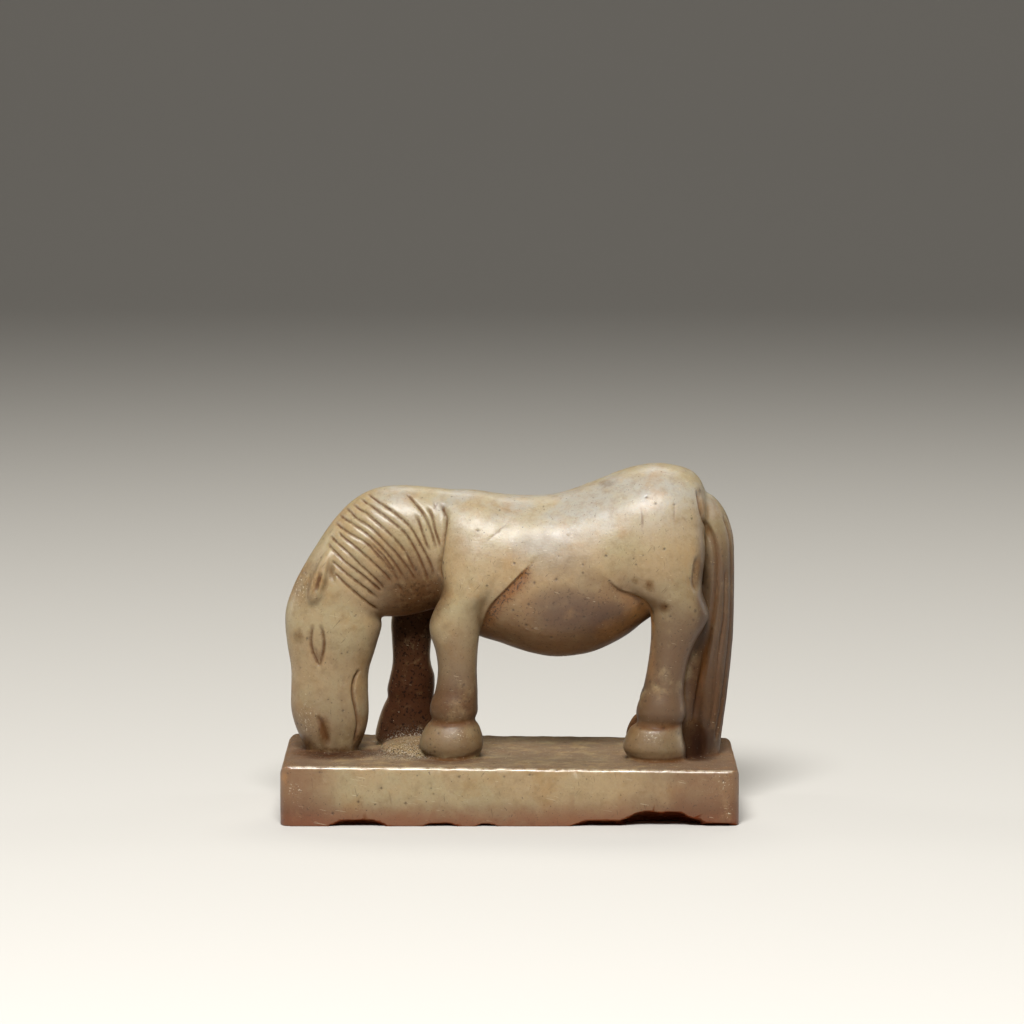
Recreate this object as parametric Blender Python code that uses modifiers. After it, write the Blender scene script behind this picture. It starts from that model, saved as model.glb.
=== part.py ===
"""Jade horse seal: a grazing horse and the oblong plinth under it, carved from one pebble.

The head points to -X, the tail to +X and the side that shows best to -Y. The origin is the
middle of the plinth's underside, which is the face of the seal. Sizes are in metres.
"""

import math

import bmesh
import bpy
import numpy as np
from mathutils import Matrix, Vector, noise
from mathutils.bvhtree import BVHTree

# The plinth
PLINTH_LENGTH = 0.0555
PLINTH_DEPTH = 0.0250
PLINTH_HEIGHT = 0.0071
PLINTH_FALL = 0.0006
CORNER_RADIUS = 0.0015
TOP_EDGE_RADIUS = 0.00045
HEAD_END_RADIUS = 0.0012
TAIL_END_RADIUS = 0.0007
FOOT_EDGE_RADIUS = 0.00015

# The seal face under the plinth: a sunk frame line round rows of shallow strokes
SEAL_BORDER = 0.0022
SEAL_LINE_WIDTH = 0.0006
SEAL_DEPTH = 0.0005
SEAL_ROWS = 3
SEAL_COLUMNS = 7

# The horse, from forehead to tail, across the belly, and from the plinth to the rump
HORSE_LENGTH = 0.0551
HORSE_WIDTH = 0.0158
HORSE_HEIGHT = 0.0357

# How finely the horse is carved, and how far its limbs melt into its body
CARVING_GRAIN = HORSE_LENGTH / 240
SOFTENING_PASSES = 8
HORSE_TRIANGLES = 7800

# How much the carved cuts are spared when the mesh is thinned
CUT_CARE = 1e-6

CORNERS = ((-1, -1), (1, -1), (1, 1), (-1, 1))
CORNER_STEPS = 4

JADE = (0.62, 0.53, 0.37, 1.0)

# The horse is drawn in its own units, of which it is this long, wide and high. X runs from
# the middle of the plinth towards the tail, Y from the horse's mid-plane, Z up from the
# plinth's top. One unit is a millimetre at the sizes above.
DRAWN_LENGTH = 55.1
DRAWN_WIDTH = 15.8
DRAWN_HEIGHT = 35.7
UNIT_X = HORSE_LENGTH / DRAWN_LENGTH
UNIT_Y = HORSE_WIDTH / DRAWN_WIDTH
UNIT_Z = HORSE_HEIGHT / DRAWN_HEIGHT

# Barrel, from chest to buttocks:
# back x, back z, belly x, belly z, half width, where it is widest (0 back, 1 belly)
BARREL = (
    (-9.6, 30.6, -9.0, 18.6, 3.0, 0.45),
    (-8.2, 32.3, -7.6, 16.4, 4.9, 0.47),
    (-5.0, 32.5, -4.6, 14.8, 6.4, 0.52),
    (-1.0, 32.0, -1.0, 13.6, 7.0, 0.57),
    (3.0, 31.8, 3.0, 12.3, 7.6, 0.60),
    (6.5, 32.2, 6.5, 11.9, 7.9, 0.60),
    (10.5, 33.6, 10.5, 12.6, 7.9, 0.56),
    (14.0, 35.0, 14.0, 14.3, 7.6, 0.50),
    (17.3, 35.7, 16.8, 16.4, 7.3, 0.45),
    (20.4, 35.5, 19.4, 18.4, 6.9, 0.45),
    (22.8, 34.5, 21.7, 20.5, 5.9, 0.45),
    (24.0, 32.4, 23.2, 22.5, 4.1, 0.47),
    (24.3, 29.7, 23.8, 25.4, 1.7, 0.50),
)

# Neck and head, from inside the shoulders round to the lips:
# crest or nose x, z, throat or jaw x, z, half width, where it is widest (0 crest, 1 throat)
NECK_AND_HEAD = (
    (-6.0, 32.4, -6.2, 17.5, 4.2, 0.42),
    (-9.5, 32.8, -8.6, 17.8, 4.4, 0.40),
    (-12.7, 33.0, -10.8, 17.3, 4.5, 0.38),
    (-15.8, 32.8, -12.8, 16.9, 4.6, 0.38),
    (-18.7, 31.5, -14.3, 16.8, 4.5, 0.38),
    (-21.2, 29.1, -15.2, 16.8, 4.4, 0.38),
    (-23.2, 26.3, -15.6, 16.8, 4.3, 0.40),
    (-25.0, 23.4, -15.7, 16.7, 4.2, 0.43),
    (-26.4, 20.7, -15.7, 16.4, 4.1, 0.47),
    (-27.3, 18.1, -15.6, 15.8, 4.1, 0.52),
    (-27.5, 15.6, -15.9, 14.5, 4.0, 0.55),
    (-27.2, 13.0, -16.5, 12.5, 3.6, 0.58),
    (-26.8, 10.4, -17.2, 10.1, 3.2, 0.56),
    (-26.8, 7.7, -17.3, 7.6, 3.1, 0.52),
    (-26.8, 5.3, -17.2, 5.3, 3.2, 0.50),
    (-26.2, 3.0, -17.5, 3.0, 3.1, 0.50),
    (-25.2, 0.9, -18.3, 0.9, 2.8, 0.50),
    (-24.2, -0.9, -19.1, -0.9, 2.4, 0.50),
)

# Legs, from inside the body down into the plinth:
# height, front x, back x, half width, distance of the leg's middle from the mid-plane
NEAR_FORELEG = (
    (31.0, -6.0, -1.5, 1.3, 2.4),
    (28.8, -7.7, 0.4, 2.4, 3.1),
    (25.8, -8.2, 1.6, 3.0, 3.8),
    (22.5, -8.2, 1.1, 3.2, 4.2),
    (20.4, -8.1, -1.1, 3.0, 4.2),
    (18.5, -9.0, -2.8, 2.8, 4.2),
    (16.7, -9.7, -3.4, 2.7, 4.2),
    (15.1, -9.6, -3.6, 2.5, 4.2),
    (13.2, -9.0, -3.8, 2.2, 4.2),
    (10.8, -8.7, -3.9, 2.0, 4.2),
    (8.3, -9.0, -3.8, 2.1, 4.2),
    (6.7, -9.6, -3.8, 2.5, 4.2),
    (5.6, -9.7, -3.8, 2.5, 4.2),
    (4.6, -9.4, -4.1, 2.3, 4.2),
    (3.9, -10.0, -3.9, 2.5, 4.2),
    (2.4, -10.6, -3.4, 2.9, 4.2),
    (0.9, -11.0, -3.2, 3.2, 4.2),
    (-0.9, -11.0, -3.2, 3.2, 4.2),
)
FAR_FORELEG = (
    (31.0, -6.0, -1.5, 1.3, 2.4),
    (28.8, -8.0, 0.4, 2.3, 3.1),
    (25.8, -9.4, 1.2, 2.9, 3.8),
    (22.5, -11.2, -0.4, 3.0, 4.1),
    (20.0, -13.2, -4.0, 2.8, 4.2),
    (17.5, -14.2, -7.6, 2.6, 4.2),
    (15.5, -14.6, -9.0, 2.4, 4.2),
    (13.3, -14.5, -9.6, 2.2, 4.2),
    (10.7, -14.4, -9.7, 2.1, 4.2),
    (8.9, -14.7, -9.2, 2.2, 4.2),
    (7.2, -15.1, -9.2, 2.4, 4.2),
    (6.2, -15.0, -9.3, 2.3, 4.2),
    (5.4, -15.4, -9.2, 2.5, 4.2),
    (3.6, -16.1, -8.9, 2.8, 4.2),
    (1.2, -16.6, -8.6, 3.0, 4.2),
    (-0.9, -16.6, -8.6, 3.0, 4.2),
)
HIND_LEG = (
    (33.0, 14.6, 20.8, 1.8, 3.0),
    (31.0, 12.6, 22.4, 3.0, 3.5),
    (28.5, 11.3, 23.5, 3.4, 3.9),
    (25.5, 10.4, 23.9, 3.6, 4.2),
    (22.6, 11.4, 23.6, 3.4, 4.4),
    (20.6, 13.8, 23.5, 3.2, 4.4),
    (18.9, 16.6, 24.1, 2.9, 4.4),
    (17.5, 17.2, 24.4, 2.7, 4.4),
    (16.0, 17.3, 23.7, 2.5, 4.4),
    (13.9, 17.2, 22.5, 2.2, 4.4),
    (11.4, 16.9, 21.7, 2.1, 4.4),
    (8.3, 16.3, 21.3, 2.2, 4.4),
    (6.6, 15.7, 21.5, 2.5, 4.4),
    (5.5, 15.5, 21.6, 2.5, 4.4),
    (4.4, 15.6, 21.2, 2.3, 4.4),
    (3.6, 14.8, 20.9, 2.6, 4.4),
    (2.2, 14.2, 21.1, 2.9, 4.4),
    (0.7, 13.9, 21.6, 3.1, 4.4),
    (-0.9, 13.9, 21.6, 3.1, 4.4),
)
FAR_HIND_SHIFT = 0.6

# Tail, from the rump down into the plinth, and the web of stone that ties it to the hind
# legs: height, front x, back x, half width
TAIL = (
    (32.4, 22.0, 23.8, 1.0),
    (31.5, 22.3, 25.2, 1.8),
    (29.8, 22.6, 26.5, 2.5),
    (27.0, 22.7, 27.4, 2.9),
    (23.5, 22.7, 27.6, 3.1),
    (19.5, 22.8, 27.6, 3.1),
    (14.5, 22.4, 27.5, 2.9),
    (9.0, 21.9, 27.0, 2.7),
    (4.0, 21.7, 26.4, 2.4),
    (1.0, 21.7, 26.0, 2.2),
    (-0.9, 21.7, 25.8, 2.2),
)
WEB = (
    (21.0, 19.0, 24.5, 3.4),
    (15.0, 18.8, 24.8, 3.6),
    (9.0, 18.4, 24.6, 3.6),
    (5.0, 18.2, 24.4, 3.6),
    (1.5, 18.6, 24.2, 3.4),
    (-0.9, 18.6, 24.2, 3.4),
)

# Lump of stone left rough between the fore hooves: middle x, y, z and half sizes
ROUGH_LUMP = ((-11.4, 0.2, 0.1), (4.6, 5.4, 2.2))

# Ear, from root to tip, lying along the poll: height, front x, back x, half width, distance
EAR = (
    (19.2, -23.9, -22.9, 0.3, 3.6),
    (20.2, -24.5, -22.6, 1.0, 3.6),
    (21.8, -24.3, -22.2, 1.2, 3.5),
    (23.6, -23.6, -21.8, 1.0, 3.3),
    (25.0, -22.7, -21.5, 0.6, 3.1),
    (25.8, -22.1, -21.5, 0.2, 3.0),
)

# Hair of the mane: where the strokes start under the crest, and where they end towards the
# chest. Every stroke bows towards the withers by this share of its length.
MANE_STROKES = 16
MANE_STARTS = (
    (-21.6, 23.0), (-22.1, 26.2), (-20.7, 28.2), (-18.9, 30.2),
    (-16.0, 32.0), (-12.4, 32.0), (-9.8, 31.4), (-8.2, 31.2),
)  # fmt: skip
MANE_ENDS = (
    (-16.2, 17.9), (-14.7, 19.2), (-13.4, 20.2), (-11.8, 21.0),
    (-9.6, 21.4), (-8.9, 23.0), (-8.4, 25.0), (-7.9, 28.0),
)  # fmt: skip
MANE_BOW = 0.13


def drawn(x, y, z):
    """A point of the horse's drawing, in metres."""
    return Vector((x * UNIT_X, y * UNIT_Y, PLINTH_HEIGHT + z * UNIT_Z))


def smooth_path(points, steps):
    """Rows of numbers read from a smooth curve through the rows of points (Catmull-Rom)."""
    rows = np.array(points, float)
    padded = np.vstack([2 * rows[0] - rows[1], rows, 2 * rows[-1] - rows[-2]])
    out = []
    for before, start, end, after in zip(padded, padded[1:], padded[2:], padded[3:]):
        for t in np.arange(steps) / steps:
            out.append(
                0.5 * (2 * start + (end - before) * t
                       + (2 * before - 5 * start + 4 * end - after) * t**2
                       + (3 * start - before - 3 * end + after) * t**3)
            )  # fmt: skip
    return np.array(out + [rows[-1]])


def new_object(name, bm, collection):
    """An object of the collection that holds the mesh being built."""
    bmesh.ops.recalc_face_normals(bm, faces=bm.faces)
    mesh = bpy.data.meshes.new(name)
    bm.to_mesh(mesh)
    bm.free()
    obj = bpy.data.objects.new(name, mesh)
    collection.objects.link(obj)
    return obj


def skin(bm, loops):
    """Closes the loops of vertices into one body: a wall between neighbours, and two caps."""
    for lower, upper in zip(loops, loops[1:]):
        for i in range(len(lower)):
            j = (i + 1) % len(lower)
            bm.faces.new((lower[i], lower[j], upper[j], upper[i]))
    bm.faces.new(loops[0])
    bm.faces.new(loops[-1])


def loft(name, rings, collection, sides=28, steps=5):
    """A closed skin through rings of (front x, z, back x, z, half width, centre y, widest)."""
    bm = bmesh.new()
    loops = []
    for ax, az, bx, bz, half_width, centre_y, widest in smooth_path(rings, steps):
        loop = []
        for turn in np.arange(sides) * 2 * math.pi / sides:
            along = -math.cos(turn)
            share = widest + along * (widest if along < 0 else 1 - widest)
            y = centre_y + half_width * math.sin(turn)
            loop.append(bm.verts.new(drawn(ax + (bx - ax) * share, y, az + (bz - az) * share)))
        loops.append(loop)
    skin(bm, loops)
    return new_object(name, bm, collection)


def leg(table, side, shift=0.0):
    """A leg's rings from its table, on the near (-1) or the far (1) side."""
    return [
        (front + shift, z, back + shift, z, half, side * apart, 0.5)
        for z, front, back, half, apart in table
    ]


def behind(table):
    """The rings of the tail or of its web from their table."""
    return [(front, z, back, z, half, 0.0, 0.5) for z, front, back, half in table]


def rough_lump(collection):
    """The unfinished stone that is left standing between the fore hooves."""
    middle, half_sizes = ROUGH_LUMP
    bm = bmesh.new()
    bmesh.ops.create_icosphere(bm, subdivisions=3, radius=1.0)
    for v in bm.verts:
        bumped = v.co * (1 + 0.18 * noise.noise(v.co * 2.3))
        v.co = drawn(*(m + b * h for m, b, h in zip(middle, bumped, half_sizes)))
    return new_object("rough_lump", bm, collection)


def forms(collection):
    """The overlapping closed forms that the horse is roughed out of."""
    barrel = [(*ring[:5], 0.0, ring[5]) for ring in BARREL]
    neck = [(*ring[:5], 0.0, ring[5]) for ring in NECK_AND_HEAD]
    made = [
        loft("barrel", barrel, collection, sides=40),
        loft("neck_and_head", neck, collection, sides=36),
        loft("tail", behind(TAIL), collection),
        loft("web", behind(WEB), collection),
        loft("near_foreleg", leg(NEAR_FORELEG, -1), collection),
        loft("far_foreleg", leg(FAR_FORELEG, 1), collection),
        loft("near_hind_leg", leg(HIND_LEG, -1), collection),
        loft("far_hind_leg", leg(HIND_LEG, 1, FAR_HIND_SHIFT), collection),
        rough_lump(collection),
    ]
    made += [loft("ear", leg(EAR, side), collection, sides=16) for side in (-1, 1)]
    return made


def mane_strokes():
    """Each stroke of the mane as a row of (x, z) points on the side of the neck."""
    guide = np.linspace(0, 1, len(MANE_STARTS))
    starts, ends = np.array(MANE_STARTS), np.array(MANE_ENDS)
    strokes = []
    for share in np.linspace(0, 1, MANE_STROKES):
        start = np.array([np.interp(share, guide, starts[:, k]) for k in (0, 1)])
        end = np.array([np.interp(share, guide, ends[:, k]) for k in (0, 1)])
        across = np.array([start[1] - end[1], end[0] - start[0]])
        middle = (start + end) / 2 + across * MANE_BOW * 2
        t = np.linspace(0, 1, 8)[:, None]
        strokes.append((1 - t) ** 2 * start + 2 * t * (1 - t) * middle + t**2 * end)
    return strokes


# Cuts on both sides of the horse: half width, depth, and the points (x, z) they run through
MANE_CUT = (0.50, 0.60)
TAIL_CUT = (0.50, 0.45)
SIDE_CUTS = {
    "eye_front": (0.42, 0.50, ((-24.0, 15.7), (-24.3, 14.4), (-24.0, 13.0), (-23.4, 11.8))),
    "eye_back": (0.42, 0.50, ((-23.1, 15.8), (-22.7, 14.4), (-22.9, 13.0), (-23.3, 11.9))),
    "nostril": (0.60, 0.60, ((-23.2, 5.0), (-22.8, 3.6), (-22.3, 1.8))),
    "mouth": (0.45, 0.55, ((-18.4, 10.6), (-19.1, 8.6), (-19.0, 6.4), (-18.6, 4.4),
                           (-18.8, 2.6), (-19.2, 1.0))),
    "ear_hollow": (0.45, 0.55, ((-23.0, 22.9), (-23.2, 21.9), (-23.5, 20.9))),
    "poll_hollow": (0.75, 0.50, ((-22.1, 23.6), (-21.9, 22.2), (-21.4, 21.2))),
    "elbow": (0.70, 0.50, ((-3.4, 16.8), (-2.0, 19.8), (0.0, 21.8), (2.2, 23.6))),
    "flank": (0.70, 0.50, ((12.0, 21.8), (13.6, 20.9), (15.6, 19.6), (17.0, 18.4), (17.3, 17.2))),
    "shoulder": (0.80, 0.60, ((-7.7, 29.2), (-8.2, 25.0), (-8.2, 21.8), (-8.9, 19.6))),
    "buttock": (0.60, 0.45, ((22.9, 25.2), (22.6, 23.4), (22.8, 21.6), (23.4, 20.2))),
}  # fmt: skip
TAIL_STRANDS = (
    ((23.0, 31.6), (23.6, 29.4), (24.4, 26.8), (25.2, 23.0), (25.2, 18.8), (24.6, 13.4),
     (24.0, 8.0), (23.6, 2.2)),
    ((24.8, 30.6), (25.8, 27.6), (26.5, 23.6), (26.5, 18.8), (26.1, 13.4), (25.7, 8.0),
     (25.2, 2.2)),
)  # fmt: skip
TAIL_BACK_STRANDS = (-1.5, -0.5, 0.5, 1.5)


def side_line(tree, points, side):
    """The (x, z) points of a cut, brought onto the horse's side (-1 near, 1 far)."""
    line = []
    for x, z in smooth_path(points, 3):
        start = drawn(x, side * DRAWN_WIDTH, z)
        hit = tree.ray_cast(start, Vector((0, -side, 0)))[0]
        if hit is not None and hit.y * side > 0:
            line.append(hit)
    return line


def back_line(tree, y):
    """A line down the back of the tail at this distance from the mid-plane."""
    line = []
    for z in np.linspace(2.0, 29.0, 24):
        hit = tree.ray_cast(drawn(DRAWN_LENGTH, y, z), Vector((-1, 0, 0)))[0]
        if hit is not None:
            line.append(hit)
    return line


def carving_lines(tree):
    """Every cut as (line on the surface, half width, depth)."""
    lines = []
    for side in (-1, 1):
        lines += [(side_line(tree, points, side), *MANE_CUT) for points in mane_strokes()]
        lines += [(side_line(tree, points, side), *TAIL_CUT) for points in TAIL_STRANDS]
        for half_width, depth, points in SIDE_CUTS.values():
            lines.append((side_line(tree, points, side), half_width, depth))
    lines += [(back_line(tree, y), *TAIL_CUT) for y in TAIL_BACK_STRANDS]
    return [cut for cut in lines if len(cut[0]) > 1]


def read_vectors(mesh, name):
    """The co or the normal of every vertex, one row each."""
    values = np.empty(len(mesh.vertices) * 3)
    mesh.vertices.foreach_get(name, values)
    return values.reshape(-1, 3)


def distance_along(spots, line):
    """How far each spot is from the line, and where along it (0 to 1) the nearest point is."""
    nearest = np.full(len(spots), np.inf)
    place = np.zeros(len(spots))
    for i, (start, end) in enumerate(zip(line, line[1:])):
        run = end - start
        share = np.clip((spots - start) @ run / max(run @ run, 1e-18), 0, 1)
        gap = np.linalg.norm(spots - start - share[:, None] * run, axis=1)
        closer = gap < nearest
        nearest[closer] = gap[closer]
        place[closer] = (i + share[closer]) / (len(line) - 1)
    return nearest, place


def carve(horse):
    """Sinks every cut into the horse, and weighs its vertices so that the cuts survive thinning."""
    mesh = horse.data
    tree = BVHTree.FromPolygons([v.co for v in mesh.vertices], [p.vertices for p in mesh.polygons])
    spots, normals = read_vectors(mesh, "co"), read_vectors(mesh, "normal")
    carved = np.zeros(len(spots), bool)
    deepest = np.zeros(len(spots))
    for line, half_width, depth in carving_lines(tree):
        line = np.array(line)
        reach = half_width * UNIT_X
        near = ((spots > line.min(0) - reach) & (spots < line.max(0) + reach)).all(1)
        picked = np.flatnonzero(near)
        gap, place = distance_along(spots[picked], line)
        fade = np.clip(np.minimum(place, 1 - place) * 6, 0, 1)
        cut = depth * UNIT_X * fade * np.clip(1 - gap / reach, 0, 1)
        deepest[picked] = np.maximum(deepest[picked], cut)
        carved[picked[gap < reach * 1.3]] = True
    mesh.vertices.foreach_set("co", (spots - normals * deepest[:, None]).ravel())
    group = horse.vertex_groups.new(name="plain")
    group.add(np.flatnonzero(~carved).tolist(), 1.0, "REPLACE")
    group.add(np.flatnonzero(carved).tolist(), 0.1, "REPLACE")
    mesh.update()


def apply_modifiers(obj):
    """Gives the object the mesh that its modifiers make, and drops them."""
    graph = bpy.context.evaluated_depsgraph_get()
    made = bpy.data.meshes.new_from_object(obj.evaluated_get(graph))
    obj.modifiers.clear()
    obj.data = made


def fit(mesh):
    """Stretches the horse to exactly its length, width and height above the plinth."""
    spots = read_vectors(mesh, "co")
    low, high = spots.min(0), spots.max(0)
    size = np.array((HORSE_LENGTH, HORSE_WIDTH, HORSE_HEIGHT))
    fixed = np.array(((low[0] + high[0]) / 2, (low[1] + high[1]) / 2, PLINTH_HEIGHT))
    reach = np.array((high[0] - low[0], high[1] - low[1], high[2] - PLINTH_HEIGHT))
    placed = np.array((0, 0, PLINTH_HEIGHT)) + (spots - fixed) * size / reach
    mesh.vertices.foreach_set("co", placed.ravel())
    mesh.update()


def make_horse(collection):
    """The horse alone: forms melted together, carved, and thinned to a light mesh."""
    bm = bmesh.new()
    for form in forms(collection):
        bm.from_mesh(form.data)
        bpy.data.objects.remove(form)
    horse = new_object("horse", bm, collection)
    one_skin = horse.modifiers.new("one_skin", "REMESH")
    one_skin.mode = "VOXEL"
    one_skin.voxel_size = CARVING_GRAIN
    soften = horse.modifiers.new("soften", "SMOOTH")
    soften.factor = 0.5
    soften.iterations = SOFTENING_PASSES
    apply_modifiers(horse)
    fit(horse.data)
    carve(horse)
    triangles = sum(len(p.vertices) - 2 for p in horse.data.polygons)
    thin = horse.modifiers.new("thin", "DECIMATE")
    thin.ratio = HORSE_TRIANGLES / triangles
    thin.vertex_group = "plain"
    thin.vertex_group_factor = CUT_CARE
    apply_modifiers(horse)
    horse.vertex_groups.clear()
    return horse


def rounded_away(radius, below_edge):
    """How far a wall has drawn in, this far below the top edge of its rounding."""
    rise = max(radius - below_edge, 0.0)
    return radius - math.sqrt(radius**2 - rise**2)


def make_plinth(collection):
    """The oblong block: rounded corners, ends and edges, and a top that falls to the tail."""
    half_length, half_depth = PLINTH_LENGTH / 2, PLINTH_DEPTH / 2
    largest = max(HEAD_END_RADIUS, TAIL_END_RADIUS, TOP_EDGE_RADIUS)
    smallest = min(HEAD_END_RADIUS, TAIL_END_RADIUS, TOP_EDGE_RADIUS)
    levels = [(0.0, FOOT_EDGE_RADIUS), (FOOT_EDGE_RADIUS, 0.0)]
    for below in (largest, largest * 0.7, largest * 0.45, smallest, smallest * 0.55,
                  smallest * 0.25, smallest * 0.07, 0.0):  # fmt: skip
        levels.append((PLINTH_HEIGHT - below, 0.0))
    bm = bmesh.new()
    loops = []
    for z, foot in levels:
        below = PLINTH_HEIGHT - z
        head = -half_length + foot + rounded_away(HEAD_END_RADIUS, below)
        tail = half_length - foot - rounded_away(TAIL_END_RADIUS, below)
        side = half_depth - foot - rounded_away(TOP_EDGE_RADIUS, below)
        loop = []
        for corner, (sx, sy) in enumerate(CORNERS):
            centre_x = (head if sx < 0 else tail) - sx * CORNER_RADIUS
            centre_y = sy * (side - CORNER_RADIUS)
            for step in range(CORNER_STEPS + 1):
                turn = math.pi * (1 + corner / 2 + step / CORNER_STEPS / 2)
                x = centre_x + CORNER_RADIUS * math.cos(turn)
                y = centre_y + CORNER_RADIUS * math.sin(turn)
                fall = PLINTH_FALL * x / PLINTH_LENGTH * (z / PLINTH_HEIGHT)
                loop.append(bm.verts.new((x, y, z - fall)))
        loops.append(loop)
    skin(bm, loops)
    return new_object("horse_seal", bm, collection)


# Chips along the foot: middle along the plinth (-1 head end, 1 tail end), edge bitten
# (-1 near, 1 far), half length, bite into the underside, rise up the side
CHIPS = (
    (-0.66, -1, 0.0034, 0.0016, 0.0008),
    (-0.30, -1, 0.0020, 0.0012, 0.0004),
    (-0.10, -1, 0.0012, 0.0010, 0.0003),
    (0.40, -1, 0.0034, 0.0017, 0.0007),
    (0.66, -1, 0.0056, 0.0040, 0.0019),
    (0.90, -1, 0.0030, 0.0020, 0.0009),
    (-0.45, 1, 0.0030, 0.0016, 0.0007),
    (0.35, 1, 0.0022, 0.0014, 0.0005),
)


def make_chips(cutters):
    """Rough scoops that break the edge of the underside."""
    chips = []
    for n, (place, side, half_length, bite, rise) in enumerate(CHIPS):
        bm = bmesh.new()
        bmesh.ops.create_icosphere(bm, subdivisions=2, radius=1.0)
        for v in bm.verts:
            v.co *= 1 + 0.22 * noise.noise(v.co * 1.7 + Vector((7.3 * n, 1.1, 2.9)))
        size = Matrix.Diagonal((half_length, bite, rise, 1.0))
        middle = (place * PLINTH_LENGTH / 2, side * PLINTH_DEPTH / 2, 0)
        bmesh.ops.transform(bm, matrix=Matrix.Translation(middle) @ size, verts=bm.verts)
        chips.append(new_object(f"chip_{n}", bm, cutters))
    return chips


def box(bm, low, high):
    """A box between two corners, added to the mesh."""
    low, high = Vector(low), Vector(high)
    place = Matrix.Translation((low + high) / 2) @ Matrix.Diagonal((*(high - low), 1.0))
    bmesh.ops.create_cube(bm, size=1.0, matrix=place)


def make_seal_frame(cutters):
    """The line sunk round the seal face."""
    bm = bmesh.new()
    rings = []
    for inset, z in ((0, -1), (0, 1), (SEAL_LINE_WIDTH, 1), (SEAL_LINE_WIDTH, -1)):
        x = PLINTH_LENGTH / 2 - SEAL_BORDER - inset
        y = PLINTH_DEPTH / 2 - SEAL_BORDER - inset
        rings.append([bm.verts.new((sx * x, sy * y, z * SEAL_DEPTH)) for sx, sy in CORNERS])
    for inner, outer in zip(rings, rings[1:] + rings[:1]):
        for i in range(len(CORNERS)):
            j = (i + 1) % len(CORNERS)
            bm.faces.new((inner[i], inner[j], outer[j], outer[i]))
    return new_object("seal_frame", bm, cutters)


def make_seal_strokes(cutters):
    """Rows of paired strokes inside the frame, lying and upright by turns."""
    inset = SEAL_BORDER + SEAL_LINE_WIDTH * 2
    step = ((PLINTH_LENGTH - 2 * inset) / SEAL_COLUMNS, (PLINTH_DEPTH - 2 * inset) / SEAL_ROWS)
    bm = bmesh.new()
    for column in range(SEAL_COLUMNS):
        for row in range(SEAL_ROWS):
            x = (column - (SEAL_COLUMNS - 1) / 2) * step[0]
            y = (row - (SEAL_ROWS - 1) / 2) * step[1]
            along = (column + row) % 2
            for side in (-1, 1):
                middle, half = [x, y], [SEAL_LINE_WIDTH / 2] * 2
                middle[1 - along] += side * step[1 - along] * 0.22
                half[along] = step[along] * 0.34
                low = (middle[0] - half[0], middle[1] - half[1], -SEAL_DEPTH)
                high = (middle[0] + half[0], middle[1] + half[1], SEAL_DEPTH)
                box(bm, low, high)
    return new_object("seal_strokes", bm, cutters)


def jade():
    material = bpy.data.materials.new("nephrite")
    material.use_nodes = True
    shader = material.node_tree.nodes["Principled BSDF"]
    shader.inputs["Base Color"].default_value = JADE
    shader.inputs["Roughness"].default_value = 0.3
    shader.inputs["Metallic"].default_value = 0.0
    return material


def combine(obj, other, operation):
    modifier = obj.modifiers.new(f"{operation.lower()}_{other.name}", "BOOLEAN")
    modifier.operation = operation
    modifier.object = other
    modifier.solver = "EXACT"


def main():
    for obj in list(bpy.data.objects):
        bpy.data.objects.remove(obj)
    parts = bpy.data.collections.new("horse_seal")
    cutters = bpy.data.collections.new("cutters")
    for collection in (parts, cutters):
        bpy.context.scene.collection.children.link(collection)

    seal = make_plinth(parts)
    seal.data.materials.append(jade())
    horse = make_horse(cutters)
    combine(seal, horse, "UNION")
    scoops = [*make_chips(cutters), make_seal_frame(cutters), make_seal_strokes(cutters)]
    for scoop in scoops:
        combine(seal, scoop, "DIFFERENCE")
    for helper in (horse, *scoops):
        helper.hide_render = True
        helper.display_type = "WIRE"
    seal.modifiers.new("triangles", "TRIANGULATE")


main()
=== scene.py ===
# %% [markdown]
# # A jade horse seal
# The real object is one pebble of nephrite, about 55 mm long. A grazing horse stands on an
# oblong block, and nothing is jointed or glued. This lesson roughs the horse out of simple
# closed forms, melts them into one skin, cuts the hair and the face into it, wears the
# stone down, and then builds the polished, stained jade.

# %% Load the fixed frame
import math

import bpy
import numpy as np
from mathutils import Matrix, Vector, noise


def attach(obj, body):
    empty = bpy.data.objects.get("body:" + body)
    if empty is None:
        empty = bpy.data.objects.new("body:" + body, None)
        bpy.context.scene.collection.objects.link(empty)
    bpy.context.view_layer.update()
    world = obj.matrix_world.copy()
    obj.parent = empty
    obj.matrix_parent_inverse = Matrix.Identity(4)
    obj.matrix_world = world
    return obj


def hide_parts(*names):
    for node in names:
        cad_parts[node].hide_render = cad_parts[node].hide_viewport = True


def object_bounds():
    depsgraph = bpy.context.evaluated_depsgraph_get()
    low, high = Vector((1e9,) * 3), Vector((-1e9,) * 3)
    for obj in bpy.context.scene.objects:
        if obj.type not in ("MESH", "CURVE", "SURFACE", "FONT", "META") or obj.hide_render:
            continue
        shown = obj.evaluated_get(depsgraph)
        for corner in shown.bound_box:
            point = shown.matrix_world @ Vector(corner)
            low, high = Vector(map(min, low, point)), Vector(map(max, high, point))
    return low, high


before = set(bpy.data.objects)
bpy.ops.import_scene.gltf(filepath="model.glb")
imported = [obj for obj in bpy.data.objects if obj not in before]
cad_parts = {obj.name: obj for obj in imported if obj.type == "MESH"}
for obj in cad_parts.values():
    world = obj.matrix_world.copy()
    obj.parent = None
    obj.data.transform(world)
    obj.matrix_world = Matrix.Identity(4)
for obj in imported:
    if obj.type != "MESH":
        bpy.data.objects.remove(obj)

CAD_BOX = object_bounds()
MM = 0.001
NEAR, FAR = -1, 1
print("frame:", [[round(v / MM, 2) for v in corner] for corner in CAD_BOX])

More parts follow.
